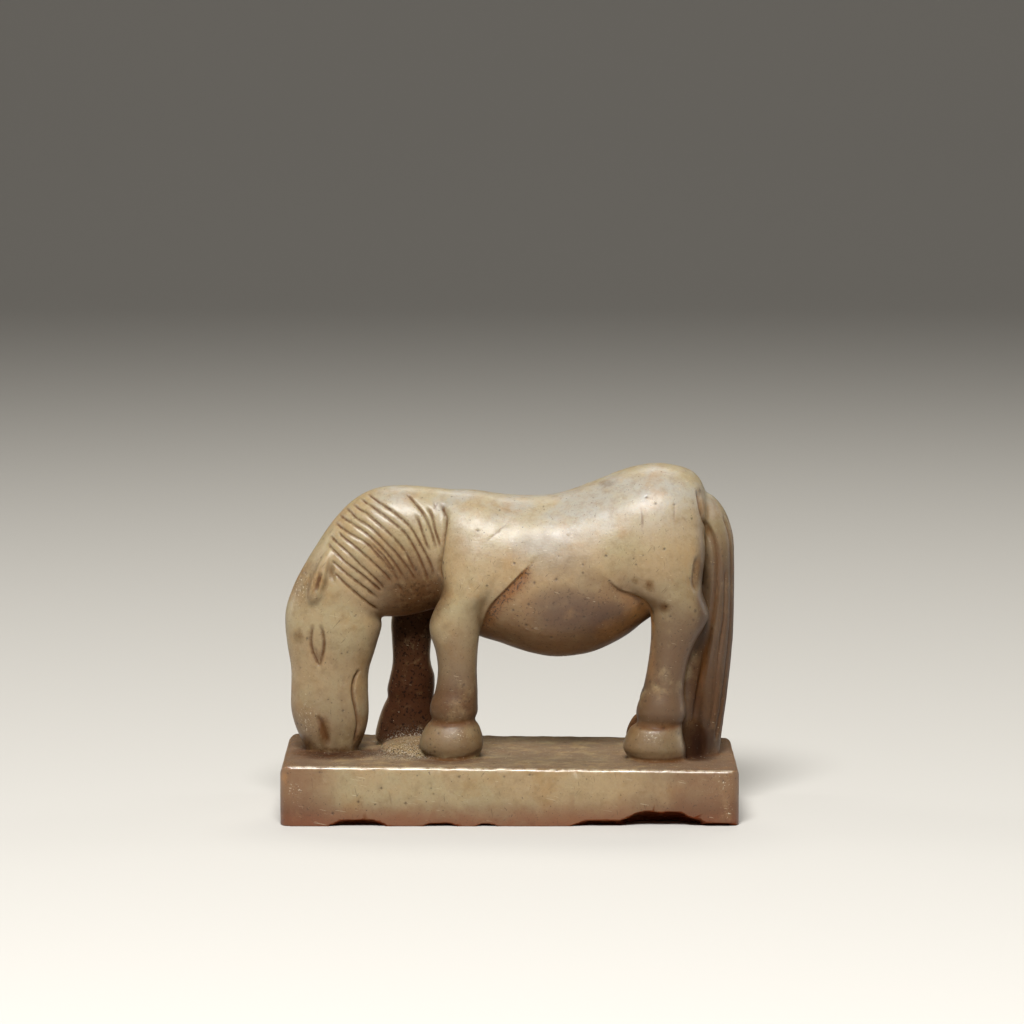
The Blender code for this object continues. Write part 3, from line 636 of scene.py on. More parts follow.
# %% All wheel cuts: half width, depth, how much dirt they hold, line
CUTS = [(0.22, 0.19, 0.90, line) for line in MANE] + [
    # eye: two bows that meet below
    (0.32, 0.26, 0.90, ((-24.0, 16.4), (-24.3, 14.4), (-24.1, 13.0), (-23.5, 11.6), (-23.2, 11.0))),
    (0.32, 0.26, 0.90, ((-23.1, 16.4), (-22.7, 14.7), (-22.7, 13.2), (-23.1, 11.8), (-23.2, 11.0))),
    (0.50, 0.16, 0.70, ((-23.9, 13.6), (-23.6, 12.4), (-23.2, 11.2))),
    (0.50, 0.10, 0.55, ((-22.8, 13.4), (-23.0, 12.4), (-23.2, 11.4))),
    # ear: the slit in it, its hind edge and the hollow behind
    (0.36, 0.36, 1.00, ((-23.0, 22.9), (-23.3, 21.6), (-23.7, 20.2))),
    (0.40, 0.14, 0.25, ((-21.9, 24.6), (-22.1, 23.0), (-22.4, 21.4), (-22.8, 20.2))),
    (0.55, 0.30, 0.50, ((-21.7, 24.0), (-21.7, 22.6), (-21.3, 21.5))),
    (0.40, 0.16, 0.30, ((-21.9, 21.4), (-20.9, 21.8))),
    # nostril, mouth and chin
    (0.55, 0.30, 0.85, ((-23.5, 5.0), (-22.9, 3.4), (-22.3, 1.2))),
    (0.55, 0.22, 0.70, ((-23.0, 3.4), (-22.2, 1.6))),
    (0.30, 0.34, 0.80, ((-18.4, 10.5), (-19.0, 9.3), (-19.2, 7.6), (-18.8, 5.4), (-18.6, 3.6), (-19.1, 1.4))),
    (0.45, 0.20, 0.60, ((-18.8, 5.6), (-18.5, 3.8), (-19.0, 1.8))),
    # shoulder and buttock
    (0.45, 0.30, 0.30, ((-7.6, 30.5), (-8.2, 25.6), (-8.5, 23.5), (-8.1, 21.9))),
    (0.60, 0.30, 0.40, ((22.9, 25.2), (22.6, 23.7), (22.4, 21.9), (22.8, 20.6))),
    # tail
    (0.55, 0.36, 0.55, ((22.9, 32.8), (23.3, 30.4), (24.0, 28.4), (24.9, 26.6), (25.4, 24.3), (25.3, 20.8),
                        (24.7, 16.6), (24.0, 12.3), (23.3, 8.8), (22.5, 4.0))),
    (0.42, 0.26, 0.45, ((26.4, 23.2), (26.3, 17.3), (25.6, 12.3), (25.2, 7.3), (24.6, 3.2))),
    (0.35, 0.20, 0.35, ((25.5, 14.5), (25.0, 8.3), (24.8, 4.0))),
    (0.35, 0.22, 0.40, ((24.9, 16.3), (24.2, 13.3), (23.4, 9.6), (22.7, 6.5))),
    # scratches on the withers, the barrel, the haunch and the block
    (0.15, 0.05, 0.70, ((-9.4, 31.5), (-8.7, 30.2))),
    (0.15, 0.05, 0.60, ((-8.6, 31.4), (-9.3, 30.3))),
    (0.14, 0.04, 0.60, ((-2.9, 26.7), (-1.4, 27.9), (-0.1, 29.1))),
    (0.14, 0.04, 0.60, ((-4.2, 25.0), (-4.3, 23.9))),
    (0.16, 0.04, 0.70, ((15.9, 31.0), (16.1, 29.6), (16.0, 28.2))),
    (0.13, 0.03, 0.50, ((20.0, 31.7), (19.9, 29.3))),
    (0.16, 0.04, 0.65, ((20.9, 30.0), (21.6, 29.1))),
    # creases above the hooves
    (0.40, 0.10, 0.85, ((-10.0, 4.6), (-7.0, 4.4), (-3.6, 4.9))),
    (0.40, 0.10, 0.90, ((15.2, 4.2), (18.0, 3.9), (21.4, 4.3))),
    (0.40, 0.08, 0.90, ((-10.4, 0.5), (-8.0, 0.1), (-5.0, 0.5), (-3.4, 1.0))),
    (0.35, 0.06, 0.80, ((14.2, 0.5), (16.0, 0.1), (19.0, 0.0), (21.6, 0.2))),
    # wheel marks on the front of the block
    (0.14, 0.04, 0.60, ((-11.8, -1.8), (-11.7, -2.8))),
    (0.14, 0.04, 0.55, ((-9.6, -1.4), (-9.4, -2.4))),
    (0.14, 0.04, 0.60, ((-7.4, -2.6), (-6.4, -3.3))),
    (0.14, 0.04, 0.50, ((-14.6, -2.6), (-14.2, -4.6))),
]
print("cuts:", len(CUTS), "of which", len(MANE), "in the mane")

# %% [markdown]
# Behind the elbow and under the flank the belly drops away in a step: sharp on the side of
# the leg, soft on the side of the belly. A step is a line too, but only what lies to its
# right is pushed in. The far foreleg stands further forward, so it has a line of its own.

# %% Steps: width, depth, how much rust they hold, side, line with the belly on its right
ELBOW = ((2.3, 24.0), (0.9, 22.5), (-0.6, 20.9), (-2.2, 19.1), (-3.0, 17.3), (-3.4, 15.7))
FLANK = ((17.5, 17.2), (17.2, 18.5), (16.4, 19.6), (14.9, 20.4), (13.3, 21.1), (11.8, 22.5))
FAR_ELBOW = ((1.6, 24.5), (0.2, 23.0), (-1.8, 21.6), (-3.9, 20.1), (-6.2, 18.6), (-7.8, 17.3))
STEPS = (
    (2.4, 0.42, 2.6, NEAR, ELBOW),
    (2.4, 0.42, 1.5, FAR, FAR_ELBOW),
    (2.2, 0.36, 0.6, NEAR, FLANK),
    (2.2, 0.36, 1.0, FAR, FLANK),
)

# %% [markdown]
# Every line is projected on to the flanks by casting rays at the stone. Then the vertices
# near it are found, with how far along the line they lie, so that a cut can run out.

# %% From lines in the side view to lines on the stone
def on_flank(points, side):
    """The line brought on to the stone's near or far side."""
    line = []
    for x, z in smooth_path(points, 6):
        start = Vector((x * MM, side * 20 * MM, BLOCK_TOP + z * MM))
        hit, spot, _, _ = stone.ray_cast(start, Vector((0, -side, 0)))
        if hit and spot.y * side > 0:
            line.append(spot)
    return line


def on_back(y):
    """A line down the back of the tail."""
    line = []
    for z in np.linspace(1.5, 29.5, 40):
        start = Vector((40 * MM, y * MM, BLOCK_TOP + z * MM))
        hit, spot, _, _ = stone.ray_cast(start, Vector((-1, 0, 0)))
        if hit:
            line.append(spot)
    return line


def from_line(places, line):
    """How far each place is from the line, and how far along it (0 to 1) it comes closest."""
    nearest, share_of = np.full(len(places), np.inf), np.zeros(len(places))
    for n, (start, end) in enumerate(zip(line, line[1:])):
        run = end - start
        share = np.clip((places - start) @ run / max(run @ run, 1e-18), 0, 1)
        gap = np.linalg.norm(places - start - share[:, None] * run, axis=1)
        closer = gap < nearest
        nearest[closer], share_of[closer] = gap[closer], (n + share[closer]) / (len(line) - 1)
    return nearest, share_of


def right_of(x, z, line, band):
    """0 on the left of a line of (x, z) in the side view, 1 on its right; the change takes a band."""
    away, sides = np.full(len(x), np.inf), np.zeros(len(x))
    for (x1, z1), (x2, z2) in zip(line, line[1:]):
        run = np.array((x2 - x1, z2 - z1))
        share = np.clip(((x - x1) * run[0] + (z - z1) * run[1]) / (run @ run), 0, 1)
        gap = np.hypot(x - x1 - share * run[0], z - z1 - share * run[1])
        side = np.sign(run[0] * (z - z1) - run[1] * (x - x1))
        closer = gap < away
        away[closer], sides[closer] = gap[closer], side[closer]
    return np.clip(0.5 + sides * away / band, 0, 1)


# %% [markdown]
# The vertices near a cut are pushed in along their normals: the further in, the nearer they
# are. A broad and faint hollow round each hair leaves a soft ridge between two of them.
# The marks that are kept here tell the material later where dirt and rust sit.

# %% Push the cuts and the steps in
GROOVE_BACK = (0.45, 0.30, 0.45)
HAIR_HOLLOW = (0.55, 0.04, 0)
RUN_OUT = 0.9 * MM

bpy.context.view_layer.update()
lines = [(*cut, on_flank(points, side)) for *cut, points in CUTS for side in (NEAR, FAR)]
lines += [(*GROOVE_BACK, on_back(y)) for y in (-1.6, -0.55, 0.5, 1.5)]
lines += [(*HAIR_HOLLOW, on_flank(points, side)) for points in MANE for side in (NEAR, FAR)]
places, normals = read(stone.data), read(stone.data, "normal")
narrow, wide, cut_mark = (np.zeros(len(places)) for _ in range(3))
for width, depth, strength, line in lines:
    if len(line) < 2:
        continue
    line, reach = np.array(line), width * MM
    picked = np.flatnonzero(((places > line.min(0) - reach) & (places < line.max(0) + reach)).all(1))
    gap, share = from_line(places[picked], line)
    length = np.linalg.norm(line[1:] - line[:-1], axis=1).sum()
    fade = np.clip(np.minimum(share, 1 - share) * length / RUN_OUT, 0, 1) ** 0.8
    inside = np.clip(1 - gap / reach, 0, 1)
    layer, form = (narrow, inside) if strength else (wide, inside ** 2 * (3 - 2 * inside))
    layer[picked] = np.maximum(layer[picked], fade * form * depth * MM)
    cut_mark[picked] = np.maximum(cut_mark[picked], fade * strength * np.minimum(1, 2.0 * inside))
x, y, z = (places / MM - (0, 0, BLOCK_TOP / MM)).T
crease_mark = np.zeros(len(places))
for width, depth, rust, side, points in STEPS:
    gap, share = from_line(places, np.array(on_flank(points, side)))
    fade = np.clip(np.minimum(share, 1 - share) * 6 + 0.15, 0, 1)
    sunk = np.clip(1 - gap / (width * MM), 0, 1) ** 2 * fade
    sunk *= right_of(x, z, smooth_path(points, 4), 0.3)
    wide = np.maximum(wide, sunk * depth * MM)
    crease_mark = np.maximum(crease_mark, rust * sunk)
write(stone.data, places - normals * (narrow + wide)[:, None])
print("lines:", len(lines), "on the stone; deepest", round(narrow.max() / MM, 2), "mm")

# %% [markdown]
# Nephrite is tough, but long handling and burial leave pits. They are small bowls at random
# places, most of them on the belly, the stifle and the legs.

# %% Pits
from mathutils.kdtree import KDTree

PIT_TRIES, PIT_REACH, PIT_DEPTH = 1100, (0.10, 0.22), 0.3

places, normals = read(stone.data), read(stone.data, "normal")
tree = KDTree(len(places))
for n, place in enumerate(places):
    tree.insert(place, n)
tree.balance()
pit_mark = np.zeros(len(places))
moved = places.copy()
for n in rng.choice(len(places), PIT_TRIES, replace=False):
    x, y, z = places[n] / MM
    height = z - BLOCK_TOP / MM
    likely = 0.25 + 0.75 * (8 < height < 26) * (x > 0) + 0.5 * (height < 12)
    if rng.random() > likely or z < 1:
        continue
    reach = rng.uniform(*PIT_REACH)
    for spot, m, gap in tree.find_range(places[n], reach * MM):
        share = 1 - (gap / (reach * MM)) ** 2
        moved[m] = places[m] - normals[m] * share * reach * PIT_DEPTH * MM
        pit_mark[m] = max(pit_mark[m], share)
write(stone.data, np.clip(moved, *CAD_BOX))
print("pits reach", int((pit_mark > 0).sum()), "vertices")

# %% [markdown]
# Before the mesh is thinned, each vertex learns how hollow its place is. A copy of the
# stone is smoothed: where the copy stands above the stone, dirt would collect and shade
# would fall, and the colour takes both. One copy is smoothed a little, for grooves, and
# one a lot, for armpits and the throat. The faces that turn down are kept as well, for
# painted shade under the belly and the head. The material reads these measures as
# attributes.

# %% Where dirt gathers and where shade is painted
def smoothed(passes):
    """Places and normals of a smoothed copy of the stone."""
    pick(stone)
    bpy.ops.object.duplicate()
    copy = bpy.context.object
    soften(copy, passes)
    found = read(copy.data), read(copy.data, "normal")
    bpy.data.objects.remove(copy)
    return found


def keep(name, values):
    """Stores one number a vertex, 0 to 1, for the material."""
    values = np.clip(values, 0, 1).astype(np.float32)
    stone.data.attributes.new(name, "FLOAT", "POINT").data.foreach_set("value", values)
    print(name, "is over a half on", f"{(values > 0.5).mean():.1%}", "of the stone")


places = read(stone.data)
fine_places, fine_normals = smoothed(round(0.5 / (GRAIN / MM) ** 2))
broad_places, broad_normals = smoothed(round(5.0 / (GRAIN / MM) ** 2))
fine = ((fine_places - places) * fine_normals).sum(1) / (0.12 * MM)
broad = ((broad_places - places) * broad_normals).sum(1) / (0.7 * MM)
keep("cut", cut_mark)
keep("crease", crease_mark)
hollow = 0.4 * np.clip(fine, 0, 1) + np.clip(broad, 0, 1)
# painted shade: faces that turn down, above the block, get darker
keep("under", -1.3 * broad_normals[:, 2] * (places[:, 2] > BLOCK_TOP))
keep("pit", pit_mark)

# %% [markdown]
# Some marks sit at one place and nowhere else: the brown in the nostril and under the
# chin, the dark pocket beside the tail, the purple cloud on the belly, the red-brown of
# the broken edge. Some are painted light and shade: a shadow where the muzzle meets the
# block, shade on the far hind hoof, and an amber glow on the belly and at a corner of
# the block. Each is a soft ball in the stone's own millimetres.

# %% Local stains, and painted shade and glow: middle x, y, height over the block; reach; strength
STAINS_AND_SHADE = (
    # nostril, mouth, and brown with a painted shadow where the muzzle meets the block
    ((-22.7, -3.0, 2.8), (0.9, 3.0, 2.2), 0.75),
    ((-18.2, -2.0, 1.6), (1.3, 3.0, 1.6), 0.80),
    ((-25.3, -2.0, 0.9), (1.8, 4.0, 1.5), 0.75),
    ((-21.5, -3.5, 0.2), (5.0, 4.6, 0.8), 0.95),
    ((-16.8, -2.0, 0.0), (3.4, 3.6, 0.8), 0.80),
    # pocket between hind leg and tail, hooves on the block
    ((22.4, -2.0, 1.6), (2.2, 4.6, 4.2), 1.00),
    ((22.8, -1.5, 9.0), (1.8, 3.4, 9.0), 0.65),
    ((-7.5, -6.5, 0.0), (4.4, 4.2, 0.5), 0.75),
    ((18.0, -6.5, 0.0), (4.2, 3.8, 0.5), 0.50),
    ((-7.0, -6.0, 4.6), (3.4, 4.0, 0.9), 0.55),
    ((18.4, -6.0, 4.2), (3.4, 4.0, 0.8), 0.60),
    # buttock, root of the tail, back, barrel, chest, throat
    ((22.6, -4.0, 23.2), (1.0, 3.0, 2.6), 0.70),
    ((22.8, -1.5, 32.4), (0.9, 3.0, 0.9), 0.60),
    ((11.5, -4.0, 33.6), (1.6, 3.0, 0.6), 0.50),
    ((-3.4, -6.5, 29.0), (0.5, 2.5, 0.4), 0.60),
    ((-10.8, -2.0, 19.8), (5.0, 6.4, 4.3), 0.72),
    ((-13.0, -3.0, 23.0), (4.4, 4.4, 4.6), 0.45),
    # three spots on the stifle, painted shade on the far hind hoof, brow, poll, foot of the tail, fetlock,
    # block's foot
    ((17.0, -7.0, 21.7), (0.7, 2.5, 0.9), 0.70),
    ((15.3, -7.0, 22.2), (0.6, 2.5, 0.5), 0.60),
    ((18.8, -7.0, 18.9), (0.8, 2.5, 0.8), 0.65),
    ((14.6, 4.4, 3.2), (2.6, 3.6, 3.2), 1.00),
    ((-25.9, -3.5, 14.6), (0.9, 2.5, 0.9), 0.55),
    ((-25.0, -2.5, 21.5), (3.0, 3.5, 4.0), 0.42),
    ((25.0, -2.0, 5.5), (3.0, 4.0, 7.0), 0.34),
    ((-6.5, -6.0, 7.0), (4.0, 3.5, 2.6), 0.40),
    ((0.9, -12.5, -7.6), (1.9, 1.0, 0.5), 0.95),
)
CLOUDS = (
    ((7.0, -7.0, 18.6), (5.2, 4.0, 3.6), 0.95),
    ((11.0, -6.5, 17.6), (3.4, 4.0, 2.6), 0.90),
    ((3.6, -7.0, 26.4), (4.6, 3.5, 1.8), 0.50),
    ((9.5, -7.0, 22.4), (2.4, 3.0, 1.2), 0.35),
    ((6.2, -7.0, 24.2), (4.6, 3.5, 2.2), 0.40),
    ((-1.5, 7.0, 20.0), (5.0, 4.0, 3.4), 0.70),
)
# painted glow: lighter amber where the belly bulges beside the flank and at the block's near corner by the
# head
AMBER = (
    ((16.2, -6.0, 17.6), (2.6, 3.4, 2.4), 1.00),
    ((13.0, -5.5, 15.6), (3.0, 4.0, 2.2), 0.60),
    ((15.5, -6.5, 20.0), (2.4, 3.0, 1.8), 0.50),
    ((-27.4, -12.5, -1.2), (0.7, 2.0, 0.7), 0.90),
)
# near-black in pockets where the horse meets the block, and white crust that clings to a corner
DARK_POCKETS = (
    ((22.9, -2.6, 1.2), (2.7, 4.0, 4.0), 1.00),
    ((22.5, -2.4, 6.0), (1.2, 3.4, 6.0), 0.60),
    ((22.3, 3.0, 1.2), (2.0, 4.0, 4.0), 0.80),
    ((-21.5, -3.4, 0.1), (4.6, 4.2, 0.5), 0.70),
    ((-17.4, -2.0, 0.4), (1.6, 3.4, 1.2), 0.70),
    ((-13.0, 2.6, 0.3), (3.0, 3.0, 1.0), 0.70),
)
CRUST = (
    ((-25.8, -2.8, 21.0), (1.2, 2.6, 3.0), 0.70),
    ((-27.0, -2.6, 9.5), (0.7, 3.0, 4.0), 0.55),
    ((-25.0, -3.0, 4.5), (1.4, 2.5, 2.2), 0.55),
    ((-26.1, -12.5, -2.6), (0.8, 0.6, 0.9), 0.90),
    ((26.5, -12.5, -5.4), (0.6, 0.6, 0.6), 0.90),
    ((25.5, -12.5, -1.8), (1.6, 0.6, 1.2), 0.55),
    ((-6.4, -7.0, 3.0), (1.6, 2.0, 0.8), 0.50),
    ((17.0, -7.0, 3.0), (1.8, 2.0, 0.7), 0.50),
    ((6.0, -12.5, -4.4), (1.0, 0.6, 0.5), 0.60),
)


def gathered(spots):
    total = np.zeros(len(places))
    for middle, reach, strength in spots:
        total = np.maximum(total, blob(places, middle, reach) ** 0.7 * strength)
    return total


# %% [markdown]
# The rest follows from where a place is. The legs, the tail and the ends of the block are
# browner than the back, each from its own height down. The insides of the legs are dark
# with soil and painted shade, the belly is brown between its two steps, and only the front
# of a chip counts as broken. The back's upward faces get a painted sheen, and the block's
# long top edges a painted highlight.

# %% Masks from place and height
BROKEN_LENGTH, BROKEN_RISE, GROUND_FACE = 1.12, 1.2, 0.985


def ramp(values, start, end):
    """0 at the start, 1 at the end, and a soft rise between."""
    share = np.clip((values - start) / (end - start), 0, 1)
    return share * share * (3 - 2 * share)


x, y, z = (places / MM).T
z = z - BLOCK_TOP / MM
on_horse = ramp(z, 0.2, 1.0)
behind_head = ramp(x, -17.5, -15.5)
hind = ramp(x, 7.0, 11.0)
legs = (ramp(z, 27.0, 12.5) * hind + ramp(z, 20.0, 7.0) * (1 - hind)) * behind_head
legs = legs * 0.95 + ramp(z, 14.0, 2.0) * (1 - behind_head) * 0.55
throat = 0.85 * blob(places, (-11.4, 0, 19.6), (7.0, 9.0, 6.2)) ** 0.8
legs = np.maximum(legs, throat)
hooves = ramp(z, 4.6, 3.6) * behind_head * 0.35
tail = ramp(x, 22.2, 23.4) * ramp(z, 35.0, 21.0)
inside = ramp(-broad_normals[:, 1] * np.sign(y), 0.1, 0.6)
inside *= ramp(z, 21.0, 18.0) * ramp(np.abs(y), 0.4, 1.4)
foot = ramp(z, -2.6, -6.4) * 0.55 + ramp(x, 12.0, 22.0) * 0.55 + ramp(x, -19.0, -26.0) * 0.55
broken = np.zeros(len(places))
for middle, side, length, bite, rise in CHIPS:
    size = (length * BROKEN_LENGTH, bite * BROKEN_LENGTH, rise * BROKEN_RISE)
    away = (places / MM - (middle, side * BLOCK_DEPTH / 2 / MM, 0)) / size
    broken = np.maximum(broken, np.clip(3 * (1.22 - np.sqrt((away ** 2).sum(1))), 0, 1))
broken *= np.abs(read(stone.data, "normal")[:, 1]) < GROUND_FACE
belly = np.where(y < 0, right_of(x, z, ELBOW, 0.3), right_of(x, z, FAR_ELBOW, 0.3))
belly *= right_of(x, z, FLANK, 0.3) * ramp(z, 24.5, 19.0) * ramp(z, 9.0, 11.0)
belly *= ramp(x, 18.0, 17.2) * ramp(x, np.where(y < 0, -4.5, -9.5), -3.2)
ends = (ramp(x, -18.0, -26.0) + ramp(x, 11.0, 24.0)) * (1 - on_horse)
keep("belly", belly)
# soil in the grooves, and soil with painted shade where the hollows are broad: armpits and the throat
keep("hollow", hollow * (1 - 0.75 * belly))
# real stains, and painted shade at the muzzle's foot and on the far hind hoof
keep("stain_and_shade", gathered(STAINS_AND_SHADE))
keep("brown", on_horse * (legs - hooves) + (1 - on_horse) * foot)
keep("tail", tail * on_horse)
keep("dark_pockets", gathered(DARK_POCKETS))
keep("crust", gathered(CRUST))
# painted highlight: the upward faces high on the back are paler and greyer, a sheen laid into the colour
keep("painted_sheen", ramp(broad_normals[:, 2], -0.05, 0.60) * ramp(z, 23.5, 30.0) * behind_head)
# painted highlight: a thin band along the block's long top edges, paler in colour and shinier
keep("edge", 1.7 * (1 - np.hypot(np.abs(y) - 12.36, z + 0.14 + 0.011 * x) / 0.30))
# soil and painted shade: the low faces of the legs that turn towards each other get darker
keep("inside", inside * on_horse)
keep("cloud", gathered(CLOUDS))
# painted glow, on the belly and the block only
keep("amber", gathered(AMBER) * np.maximum(belly, 1 - on_horse))
keep("broken", broken)
keep("foot", np.maximum(ramp(z, -3.6, -7.0), 0.45 * ends))
keep("top", (1 - on_horse) * ramp(broad_normals[:, 2], 0.5, 0.9))
keep("unpolished", unpolished)

# %% [markdown]
# A square millimetre of the stone now carries fifty vertices, far more than a plain flank
# needs. Decimate takes them away where the surface is even and leaves them in the hair.

# %% Thin the mesh
TRIANGLES = 190_000
faces = sum(len(face.vertices) - 2 for face in stone.data.polygons)
thin = stone.modifiers.new("thin", "DECIMATE")
thin.ratio = TRIANGLES / faces
finish_modifier(stone)
write(stone.data, np.clip(read(stone.data), *CAD_BOX))
pick(stone)
bpy.ops.object.shade_smooth()
print("thinned from", faces, "to", sum(len(face.vertices) - 2 for face in stone.data.polygons))
print("attributes kept:", [attribute.name for attribute in stone.data.attributes])

# %% [markdown]
# The stone is a pale yellow-green, clouded, and stained brown by the soil that it lay in,
# most of all in the cuts and at the broken foot. So much in one material is easier to read
# as a table than as a drawing of nodes, and one small function adds each node.

# %% Nodes
def colour(code):
    """An sRGB hex colour as the linear colour that a socket takes."""
    parts = [int(code[n:n + 2], 16) / 255 for n in (1, 3, 5)]
    return (*(v / 12.92 if v <= 0.04045 else ((v + 0.055) / 1.055) ** 2.4 for v in parts), 1)


def new_material(name):
    made = bpy.data.materials.new(name)
    made.use_nodes = True
    made.node_tree.nodes.clear()
    return made


def node(material, kind, inputs, **settings):
    """Adds a node. An input is a constant, or a node whose first live output is linked to it."""
    made = material.node_tree.nodes.new("ShaderNode" + kind)
    for name, value in settings.items():
        setattr(made, name, value)
    for name, value in inputs.items():
        if isinstance(value, bpy.types.Node):
            value = next(output for output in value.outputs if output.enabled)
        if isinstance(value, bpy.types.NodeSocket):
            material.node_tree.links.new(value, made.inputs[name])
        else:
            made.inputs[name].default_value = value
    return made


# %% [markdown]
# The colour is laid on like glazes, one over the other. Each layer has a mask that says
# where it may show, a noise that breaks it up at its own real size, and a colour. A
# stretched noise gives scratches, and a high threshold leaves only scattered specks.

# %% Layers: what the eye sees; mask; noise size, detail, stretch, turn; threshold; strength; colour
EVEN = (1, 1, 1)
LAYERS = (
    # painted highlight: a sheen on the upward faces of the back
    ("painted sheen on the upper back", "painted_sheen", 3.0, 4, EVEN, 0, (0.15, 0.50), 0.76, "#87867e"),
    ("greener clouds in the stone", None, 7.0, 3, EVEN, 0, (0.40, 0.62), 0.85, "#8a7c5c"),
    ("amber clouds in the stone", None, 4.5, 4, EVEN, 0, (0.50, 0.70), 0.60, "#84663c"),
    ("fine mottle of the fibres", None, 1.1, 6, EVEN, 0, (0.42, 0.75), 0.45, "#6c5433"),
    ("pale fibres", None, 0.5, 3, EVEN, 0, (0.55, 0.78), 0.20, "#a89c7e"),
    ("dark fibres", None, 0.28, 3, EVEN, 0, (0.50, 0.75), 0.22, "#57402a"),
    ("brown of the legs, tail and ends", "brown", 3.5, 4, EVEN, 0, (0.15, 0.50), 0.96, "#4d341d"),
    ("darker brown of the tail", "tail", 2.4, 5, EVEN, 0, (0.15, 0.50), 0.92, "#402b15"),
    ("rosy foot, lit through", "foot", 5.0, 3, EVEN, 0, (0.10, 0.50), 0.80, "#683719"),
    ("brown of the belly", "belly", 3.0, 4, EVEN, 0, (0.10, 0.60), 0.78, "#725434"),
    ("purple-grey clouds", "cloud", 2.6, 3, EVEN, 0, (0.14, 0.54), 0.80, "#3d2a22"),
    ("dull grey of the block's top", "top", 2.0, 5, EVEN, 0, (0.10, 0.60), 0.82, "#5a493b"),
    # painted shade on the faces that turn down
    ("painted shade on downward faces", "under", 1.6, 6, EVEN, 0, (0.15, 0.55), 0.54, "#593315"),
    # soil and painted shade between the legs
    ("soil and painted shade inside the legs", "inside", 1.2, 6, EVEN, 0, (0.08, 0.46), 0.95, "#2f1709"),
    # soil, and painted shade where the hollows are broad
    ("soil and painted shade in hollows", "hollow", 0.8, 6, EVEN, 0, (0.25, 0.60), 0.75, "#472a12"),
    # over real stains and over the painted shade at the muzzle's foot and the far hind hoof
    ("damp rings and painted shade", "stain_and_shade", 0.9, 6, EVEN, 0, (0.25, 0.52), 0.88, "#452710"),
    ("black heart of the stains", "stain_and_shade", 0.45, 5, EVEN, 0, (0.50, 0.66), 0.70, "#20120a"),
    ("brown pores of the belly", "belly", 0.40, 5, EVEN, 0, (0.58, 0.66), 0.75, "#3a2312"),
    ("rusty dirt along the creases", "crease", 0.8, 6, EVEN, 0, (0.15, 0.50), 0.95, "#66401a"),
    ("black specks in the creases", "crease", 0.28, 3, EVEN, 0, (0.56, 0.60), 0.80, "#1d1009"),
    ("amber where light comes through", "amber", 0.8, 5, EVEN, 0, (0.20, 0.60), 0.75, "#9a6c3a"),
    ("dirt in the cuts", "cut", 0.7, 5, EVEN, 0, (0.20, 0.60), 0.90, "#523319"),
    ("near-black in the pockets", "dark_pockets", 1.0, 4, EVEN, 0, (0.00, 0.35), 0.96, "#25130a"),
    ("dirt in the pits", "pit", 1.0, 2, EVEN, 0, (0.00, 0.10), 0.75, "#2d1c0f"),
    ("scattered brown specks", None, 0.33, 3, EVEN, 0, (0.675, 0.71), 0.75, "#3a2412"),
    ("more specks on the legs", "brown", 0.30, 3, EVEN, 0, (0.635, 0.67), 0.65, "#2c1b0e"),
    ("black specks inside the legs", "inside", 0.34, 3, EVEN, 0, (0.57, 0.62), 0.85, "#0f0704"),
    ("dark scratches, leaning", None, 0.16, 1, (0.07, 1, 1), 0.9, (0.735, 0.76), 0.60, "#3a2412"),
    ("dark scratches, upright", None, 0.16, 1, (0.07, 1, 1), 1.7, (0.745, 0.77), 0.60, "#3a2412"),
    ("pale scratches, level", None, 0.15, 1, (0.06, 1, 1), -0.2, (0.745, 0.77), 0.40, "#b8ae94"),
    ("pale mineral grains", "top", 0.20, 2, EVEN, 0, (0.68, 0.72), 0.80, "#b3a892"),
    ("red-brown broken faces", "broken", 0.7, 6, EVEN, 0, (0.20, 0.55), 0.95, "#55220f"),
    ("pale grit where unpolished", "unpolished", 0.17, 2, EVEN, 0, (0.52, 0.64), 0.80, "#9c9484"),
    ("white specks of crust", "crust", 0.24, 2, EVEN, 0, (0.60, 0.66), 0.90, "#cfc6b0"),
    # painted highlight along the block's long top edges
    ("painted highlight on the block's upper edge", "edge", 1.1, 5, EVEN, 0, (0.36, 0.60), 0.50, "#bcb39c"),
    ("dark holes in the grit", "unpolished", 0.19, 2, EVEN, 0, (0.46, 0.38), 0.95, "#22160d"),
)

jade = new_material("polished_nephrite")
space = node(jade, "TexCoord", {}).outputs["Object"]
tone = node(jade, "Mix", {0: 0.0, 6: colour("#8d7857"), 7: colour("#8d7857")}, data_type="RGBA")
for n, (what, mask, size, detail, stretch, turn, (low, high), strength, code) in enumerate(LAYERS):
    scale = tuple(share / (size * MM) for share in stretch)
    spread = node(jade, "Mapping", {"Vector": space, "Rotation": (0, turn, 0)})
    elsewhere = (3.7 * n, 1.3 * n, 0)
    spread = node(jade, "Mapping", {"Vector": spread, "Scale": scale, "Location": elsewhere})
    fleck = node(jade, "TexNoise", {"Vector": spread, "Scale": 1.0, "Detail": detail, "Roughness": 0.6})
    limits = {"From Min": low, "From Max": high, "To Max": strength}
    share = node(jade, "MapRange", {"Value": fleck, **limits}, interpolation_type="SMOOTHSTEP")
    if mask:
        where = node(jade, "Attribute", {}, attribute_name=mask).outputs["Fac"]
        share = node(jade, "Math", {0: share, 1: where}, operation="MULTIPLY")
    tone = node(jade, "Mix", {0: share, 6: tone, 7: colour(code)}, data_type="RGBA")
    tone.label = what
print("layers:", len(LAYERS))

# %% [markdown]
# Polished nephrite is a felt of tiny fibres. Light goes a millimetre or two into it, so
# edges glow. Its skin is waxy, with a second and sharper shine where hands rubbed it; in
# hollows, on breaks and on the unpolished patch it stays dull.

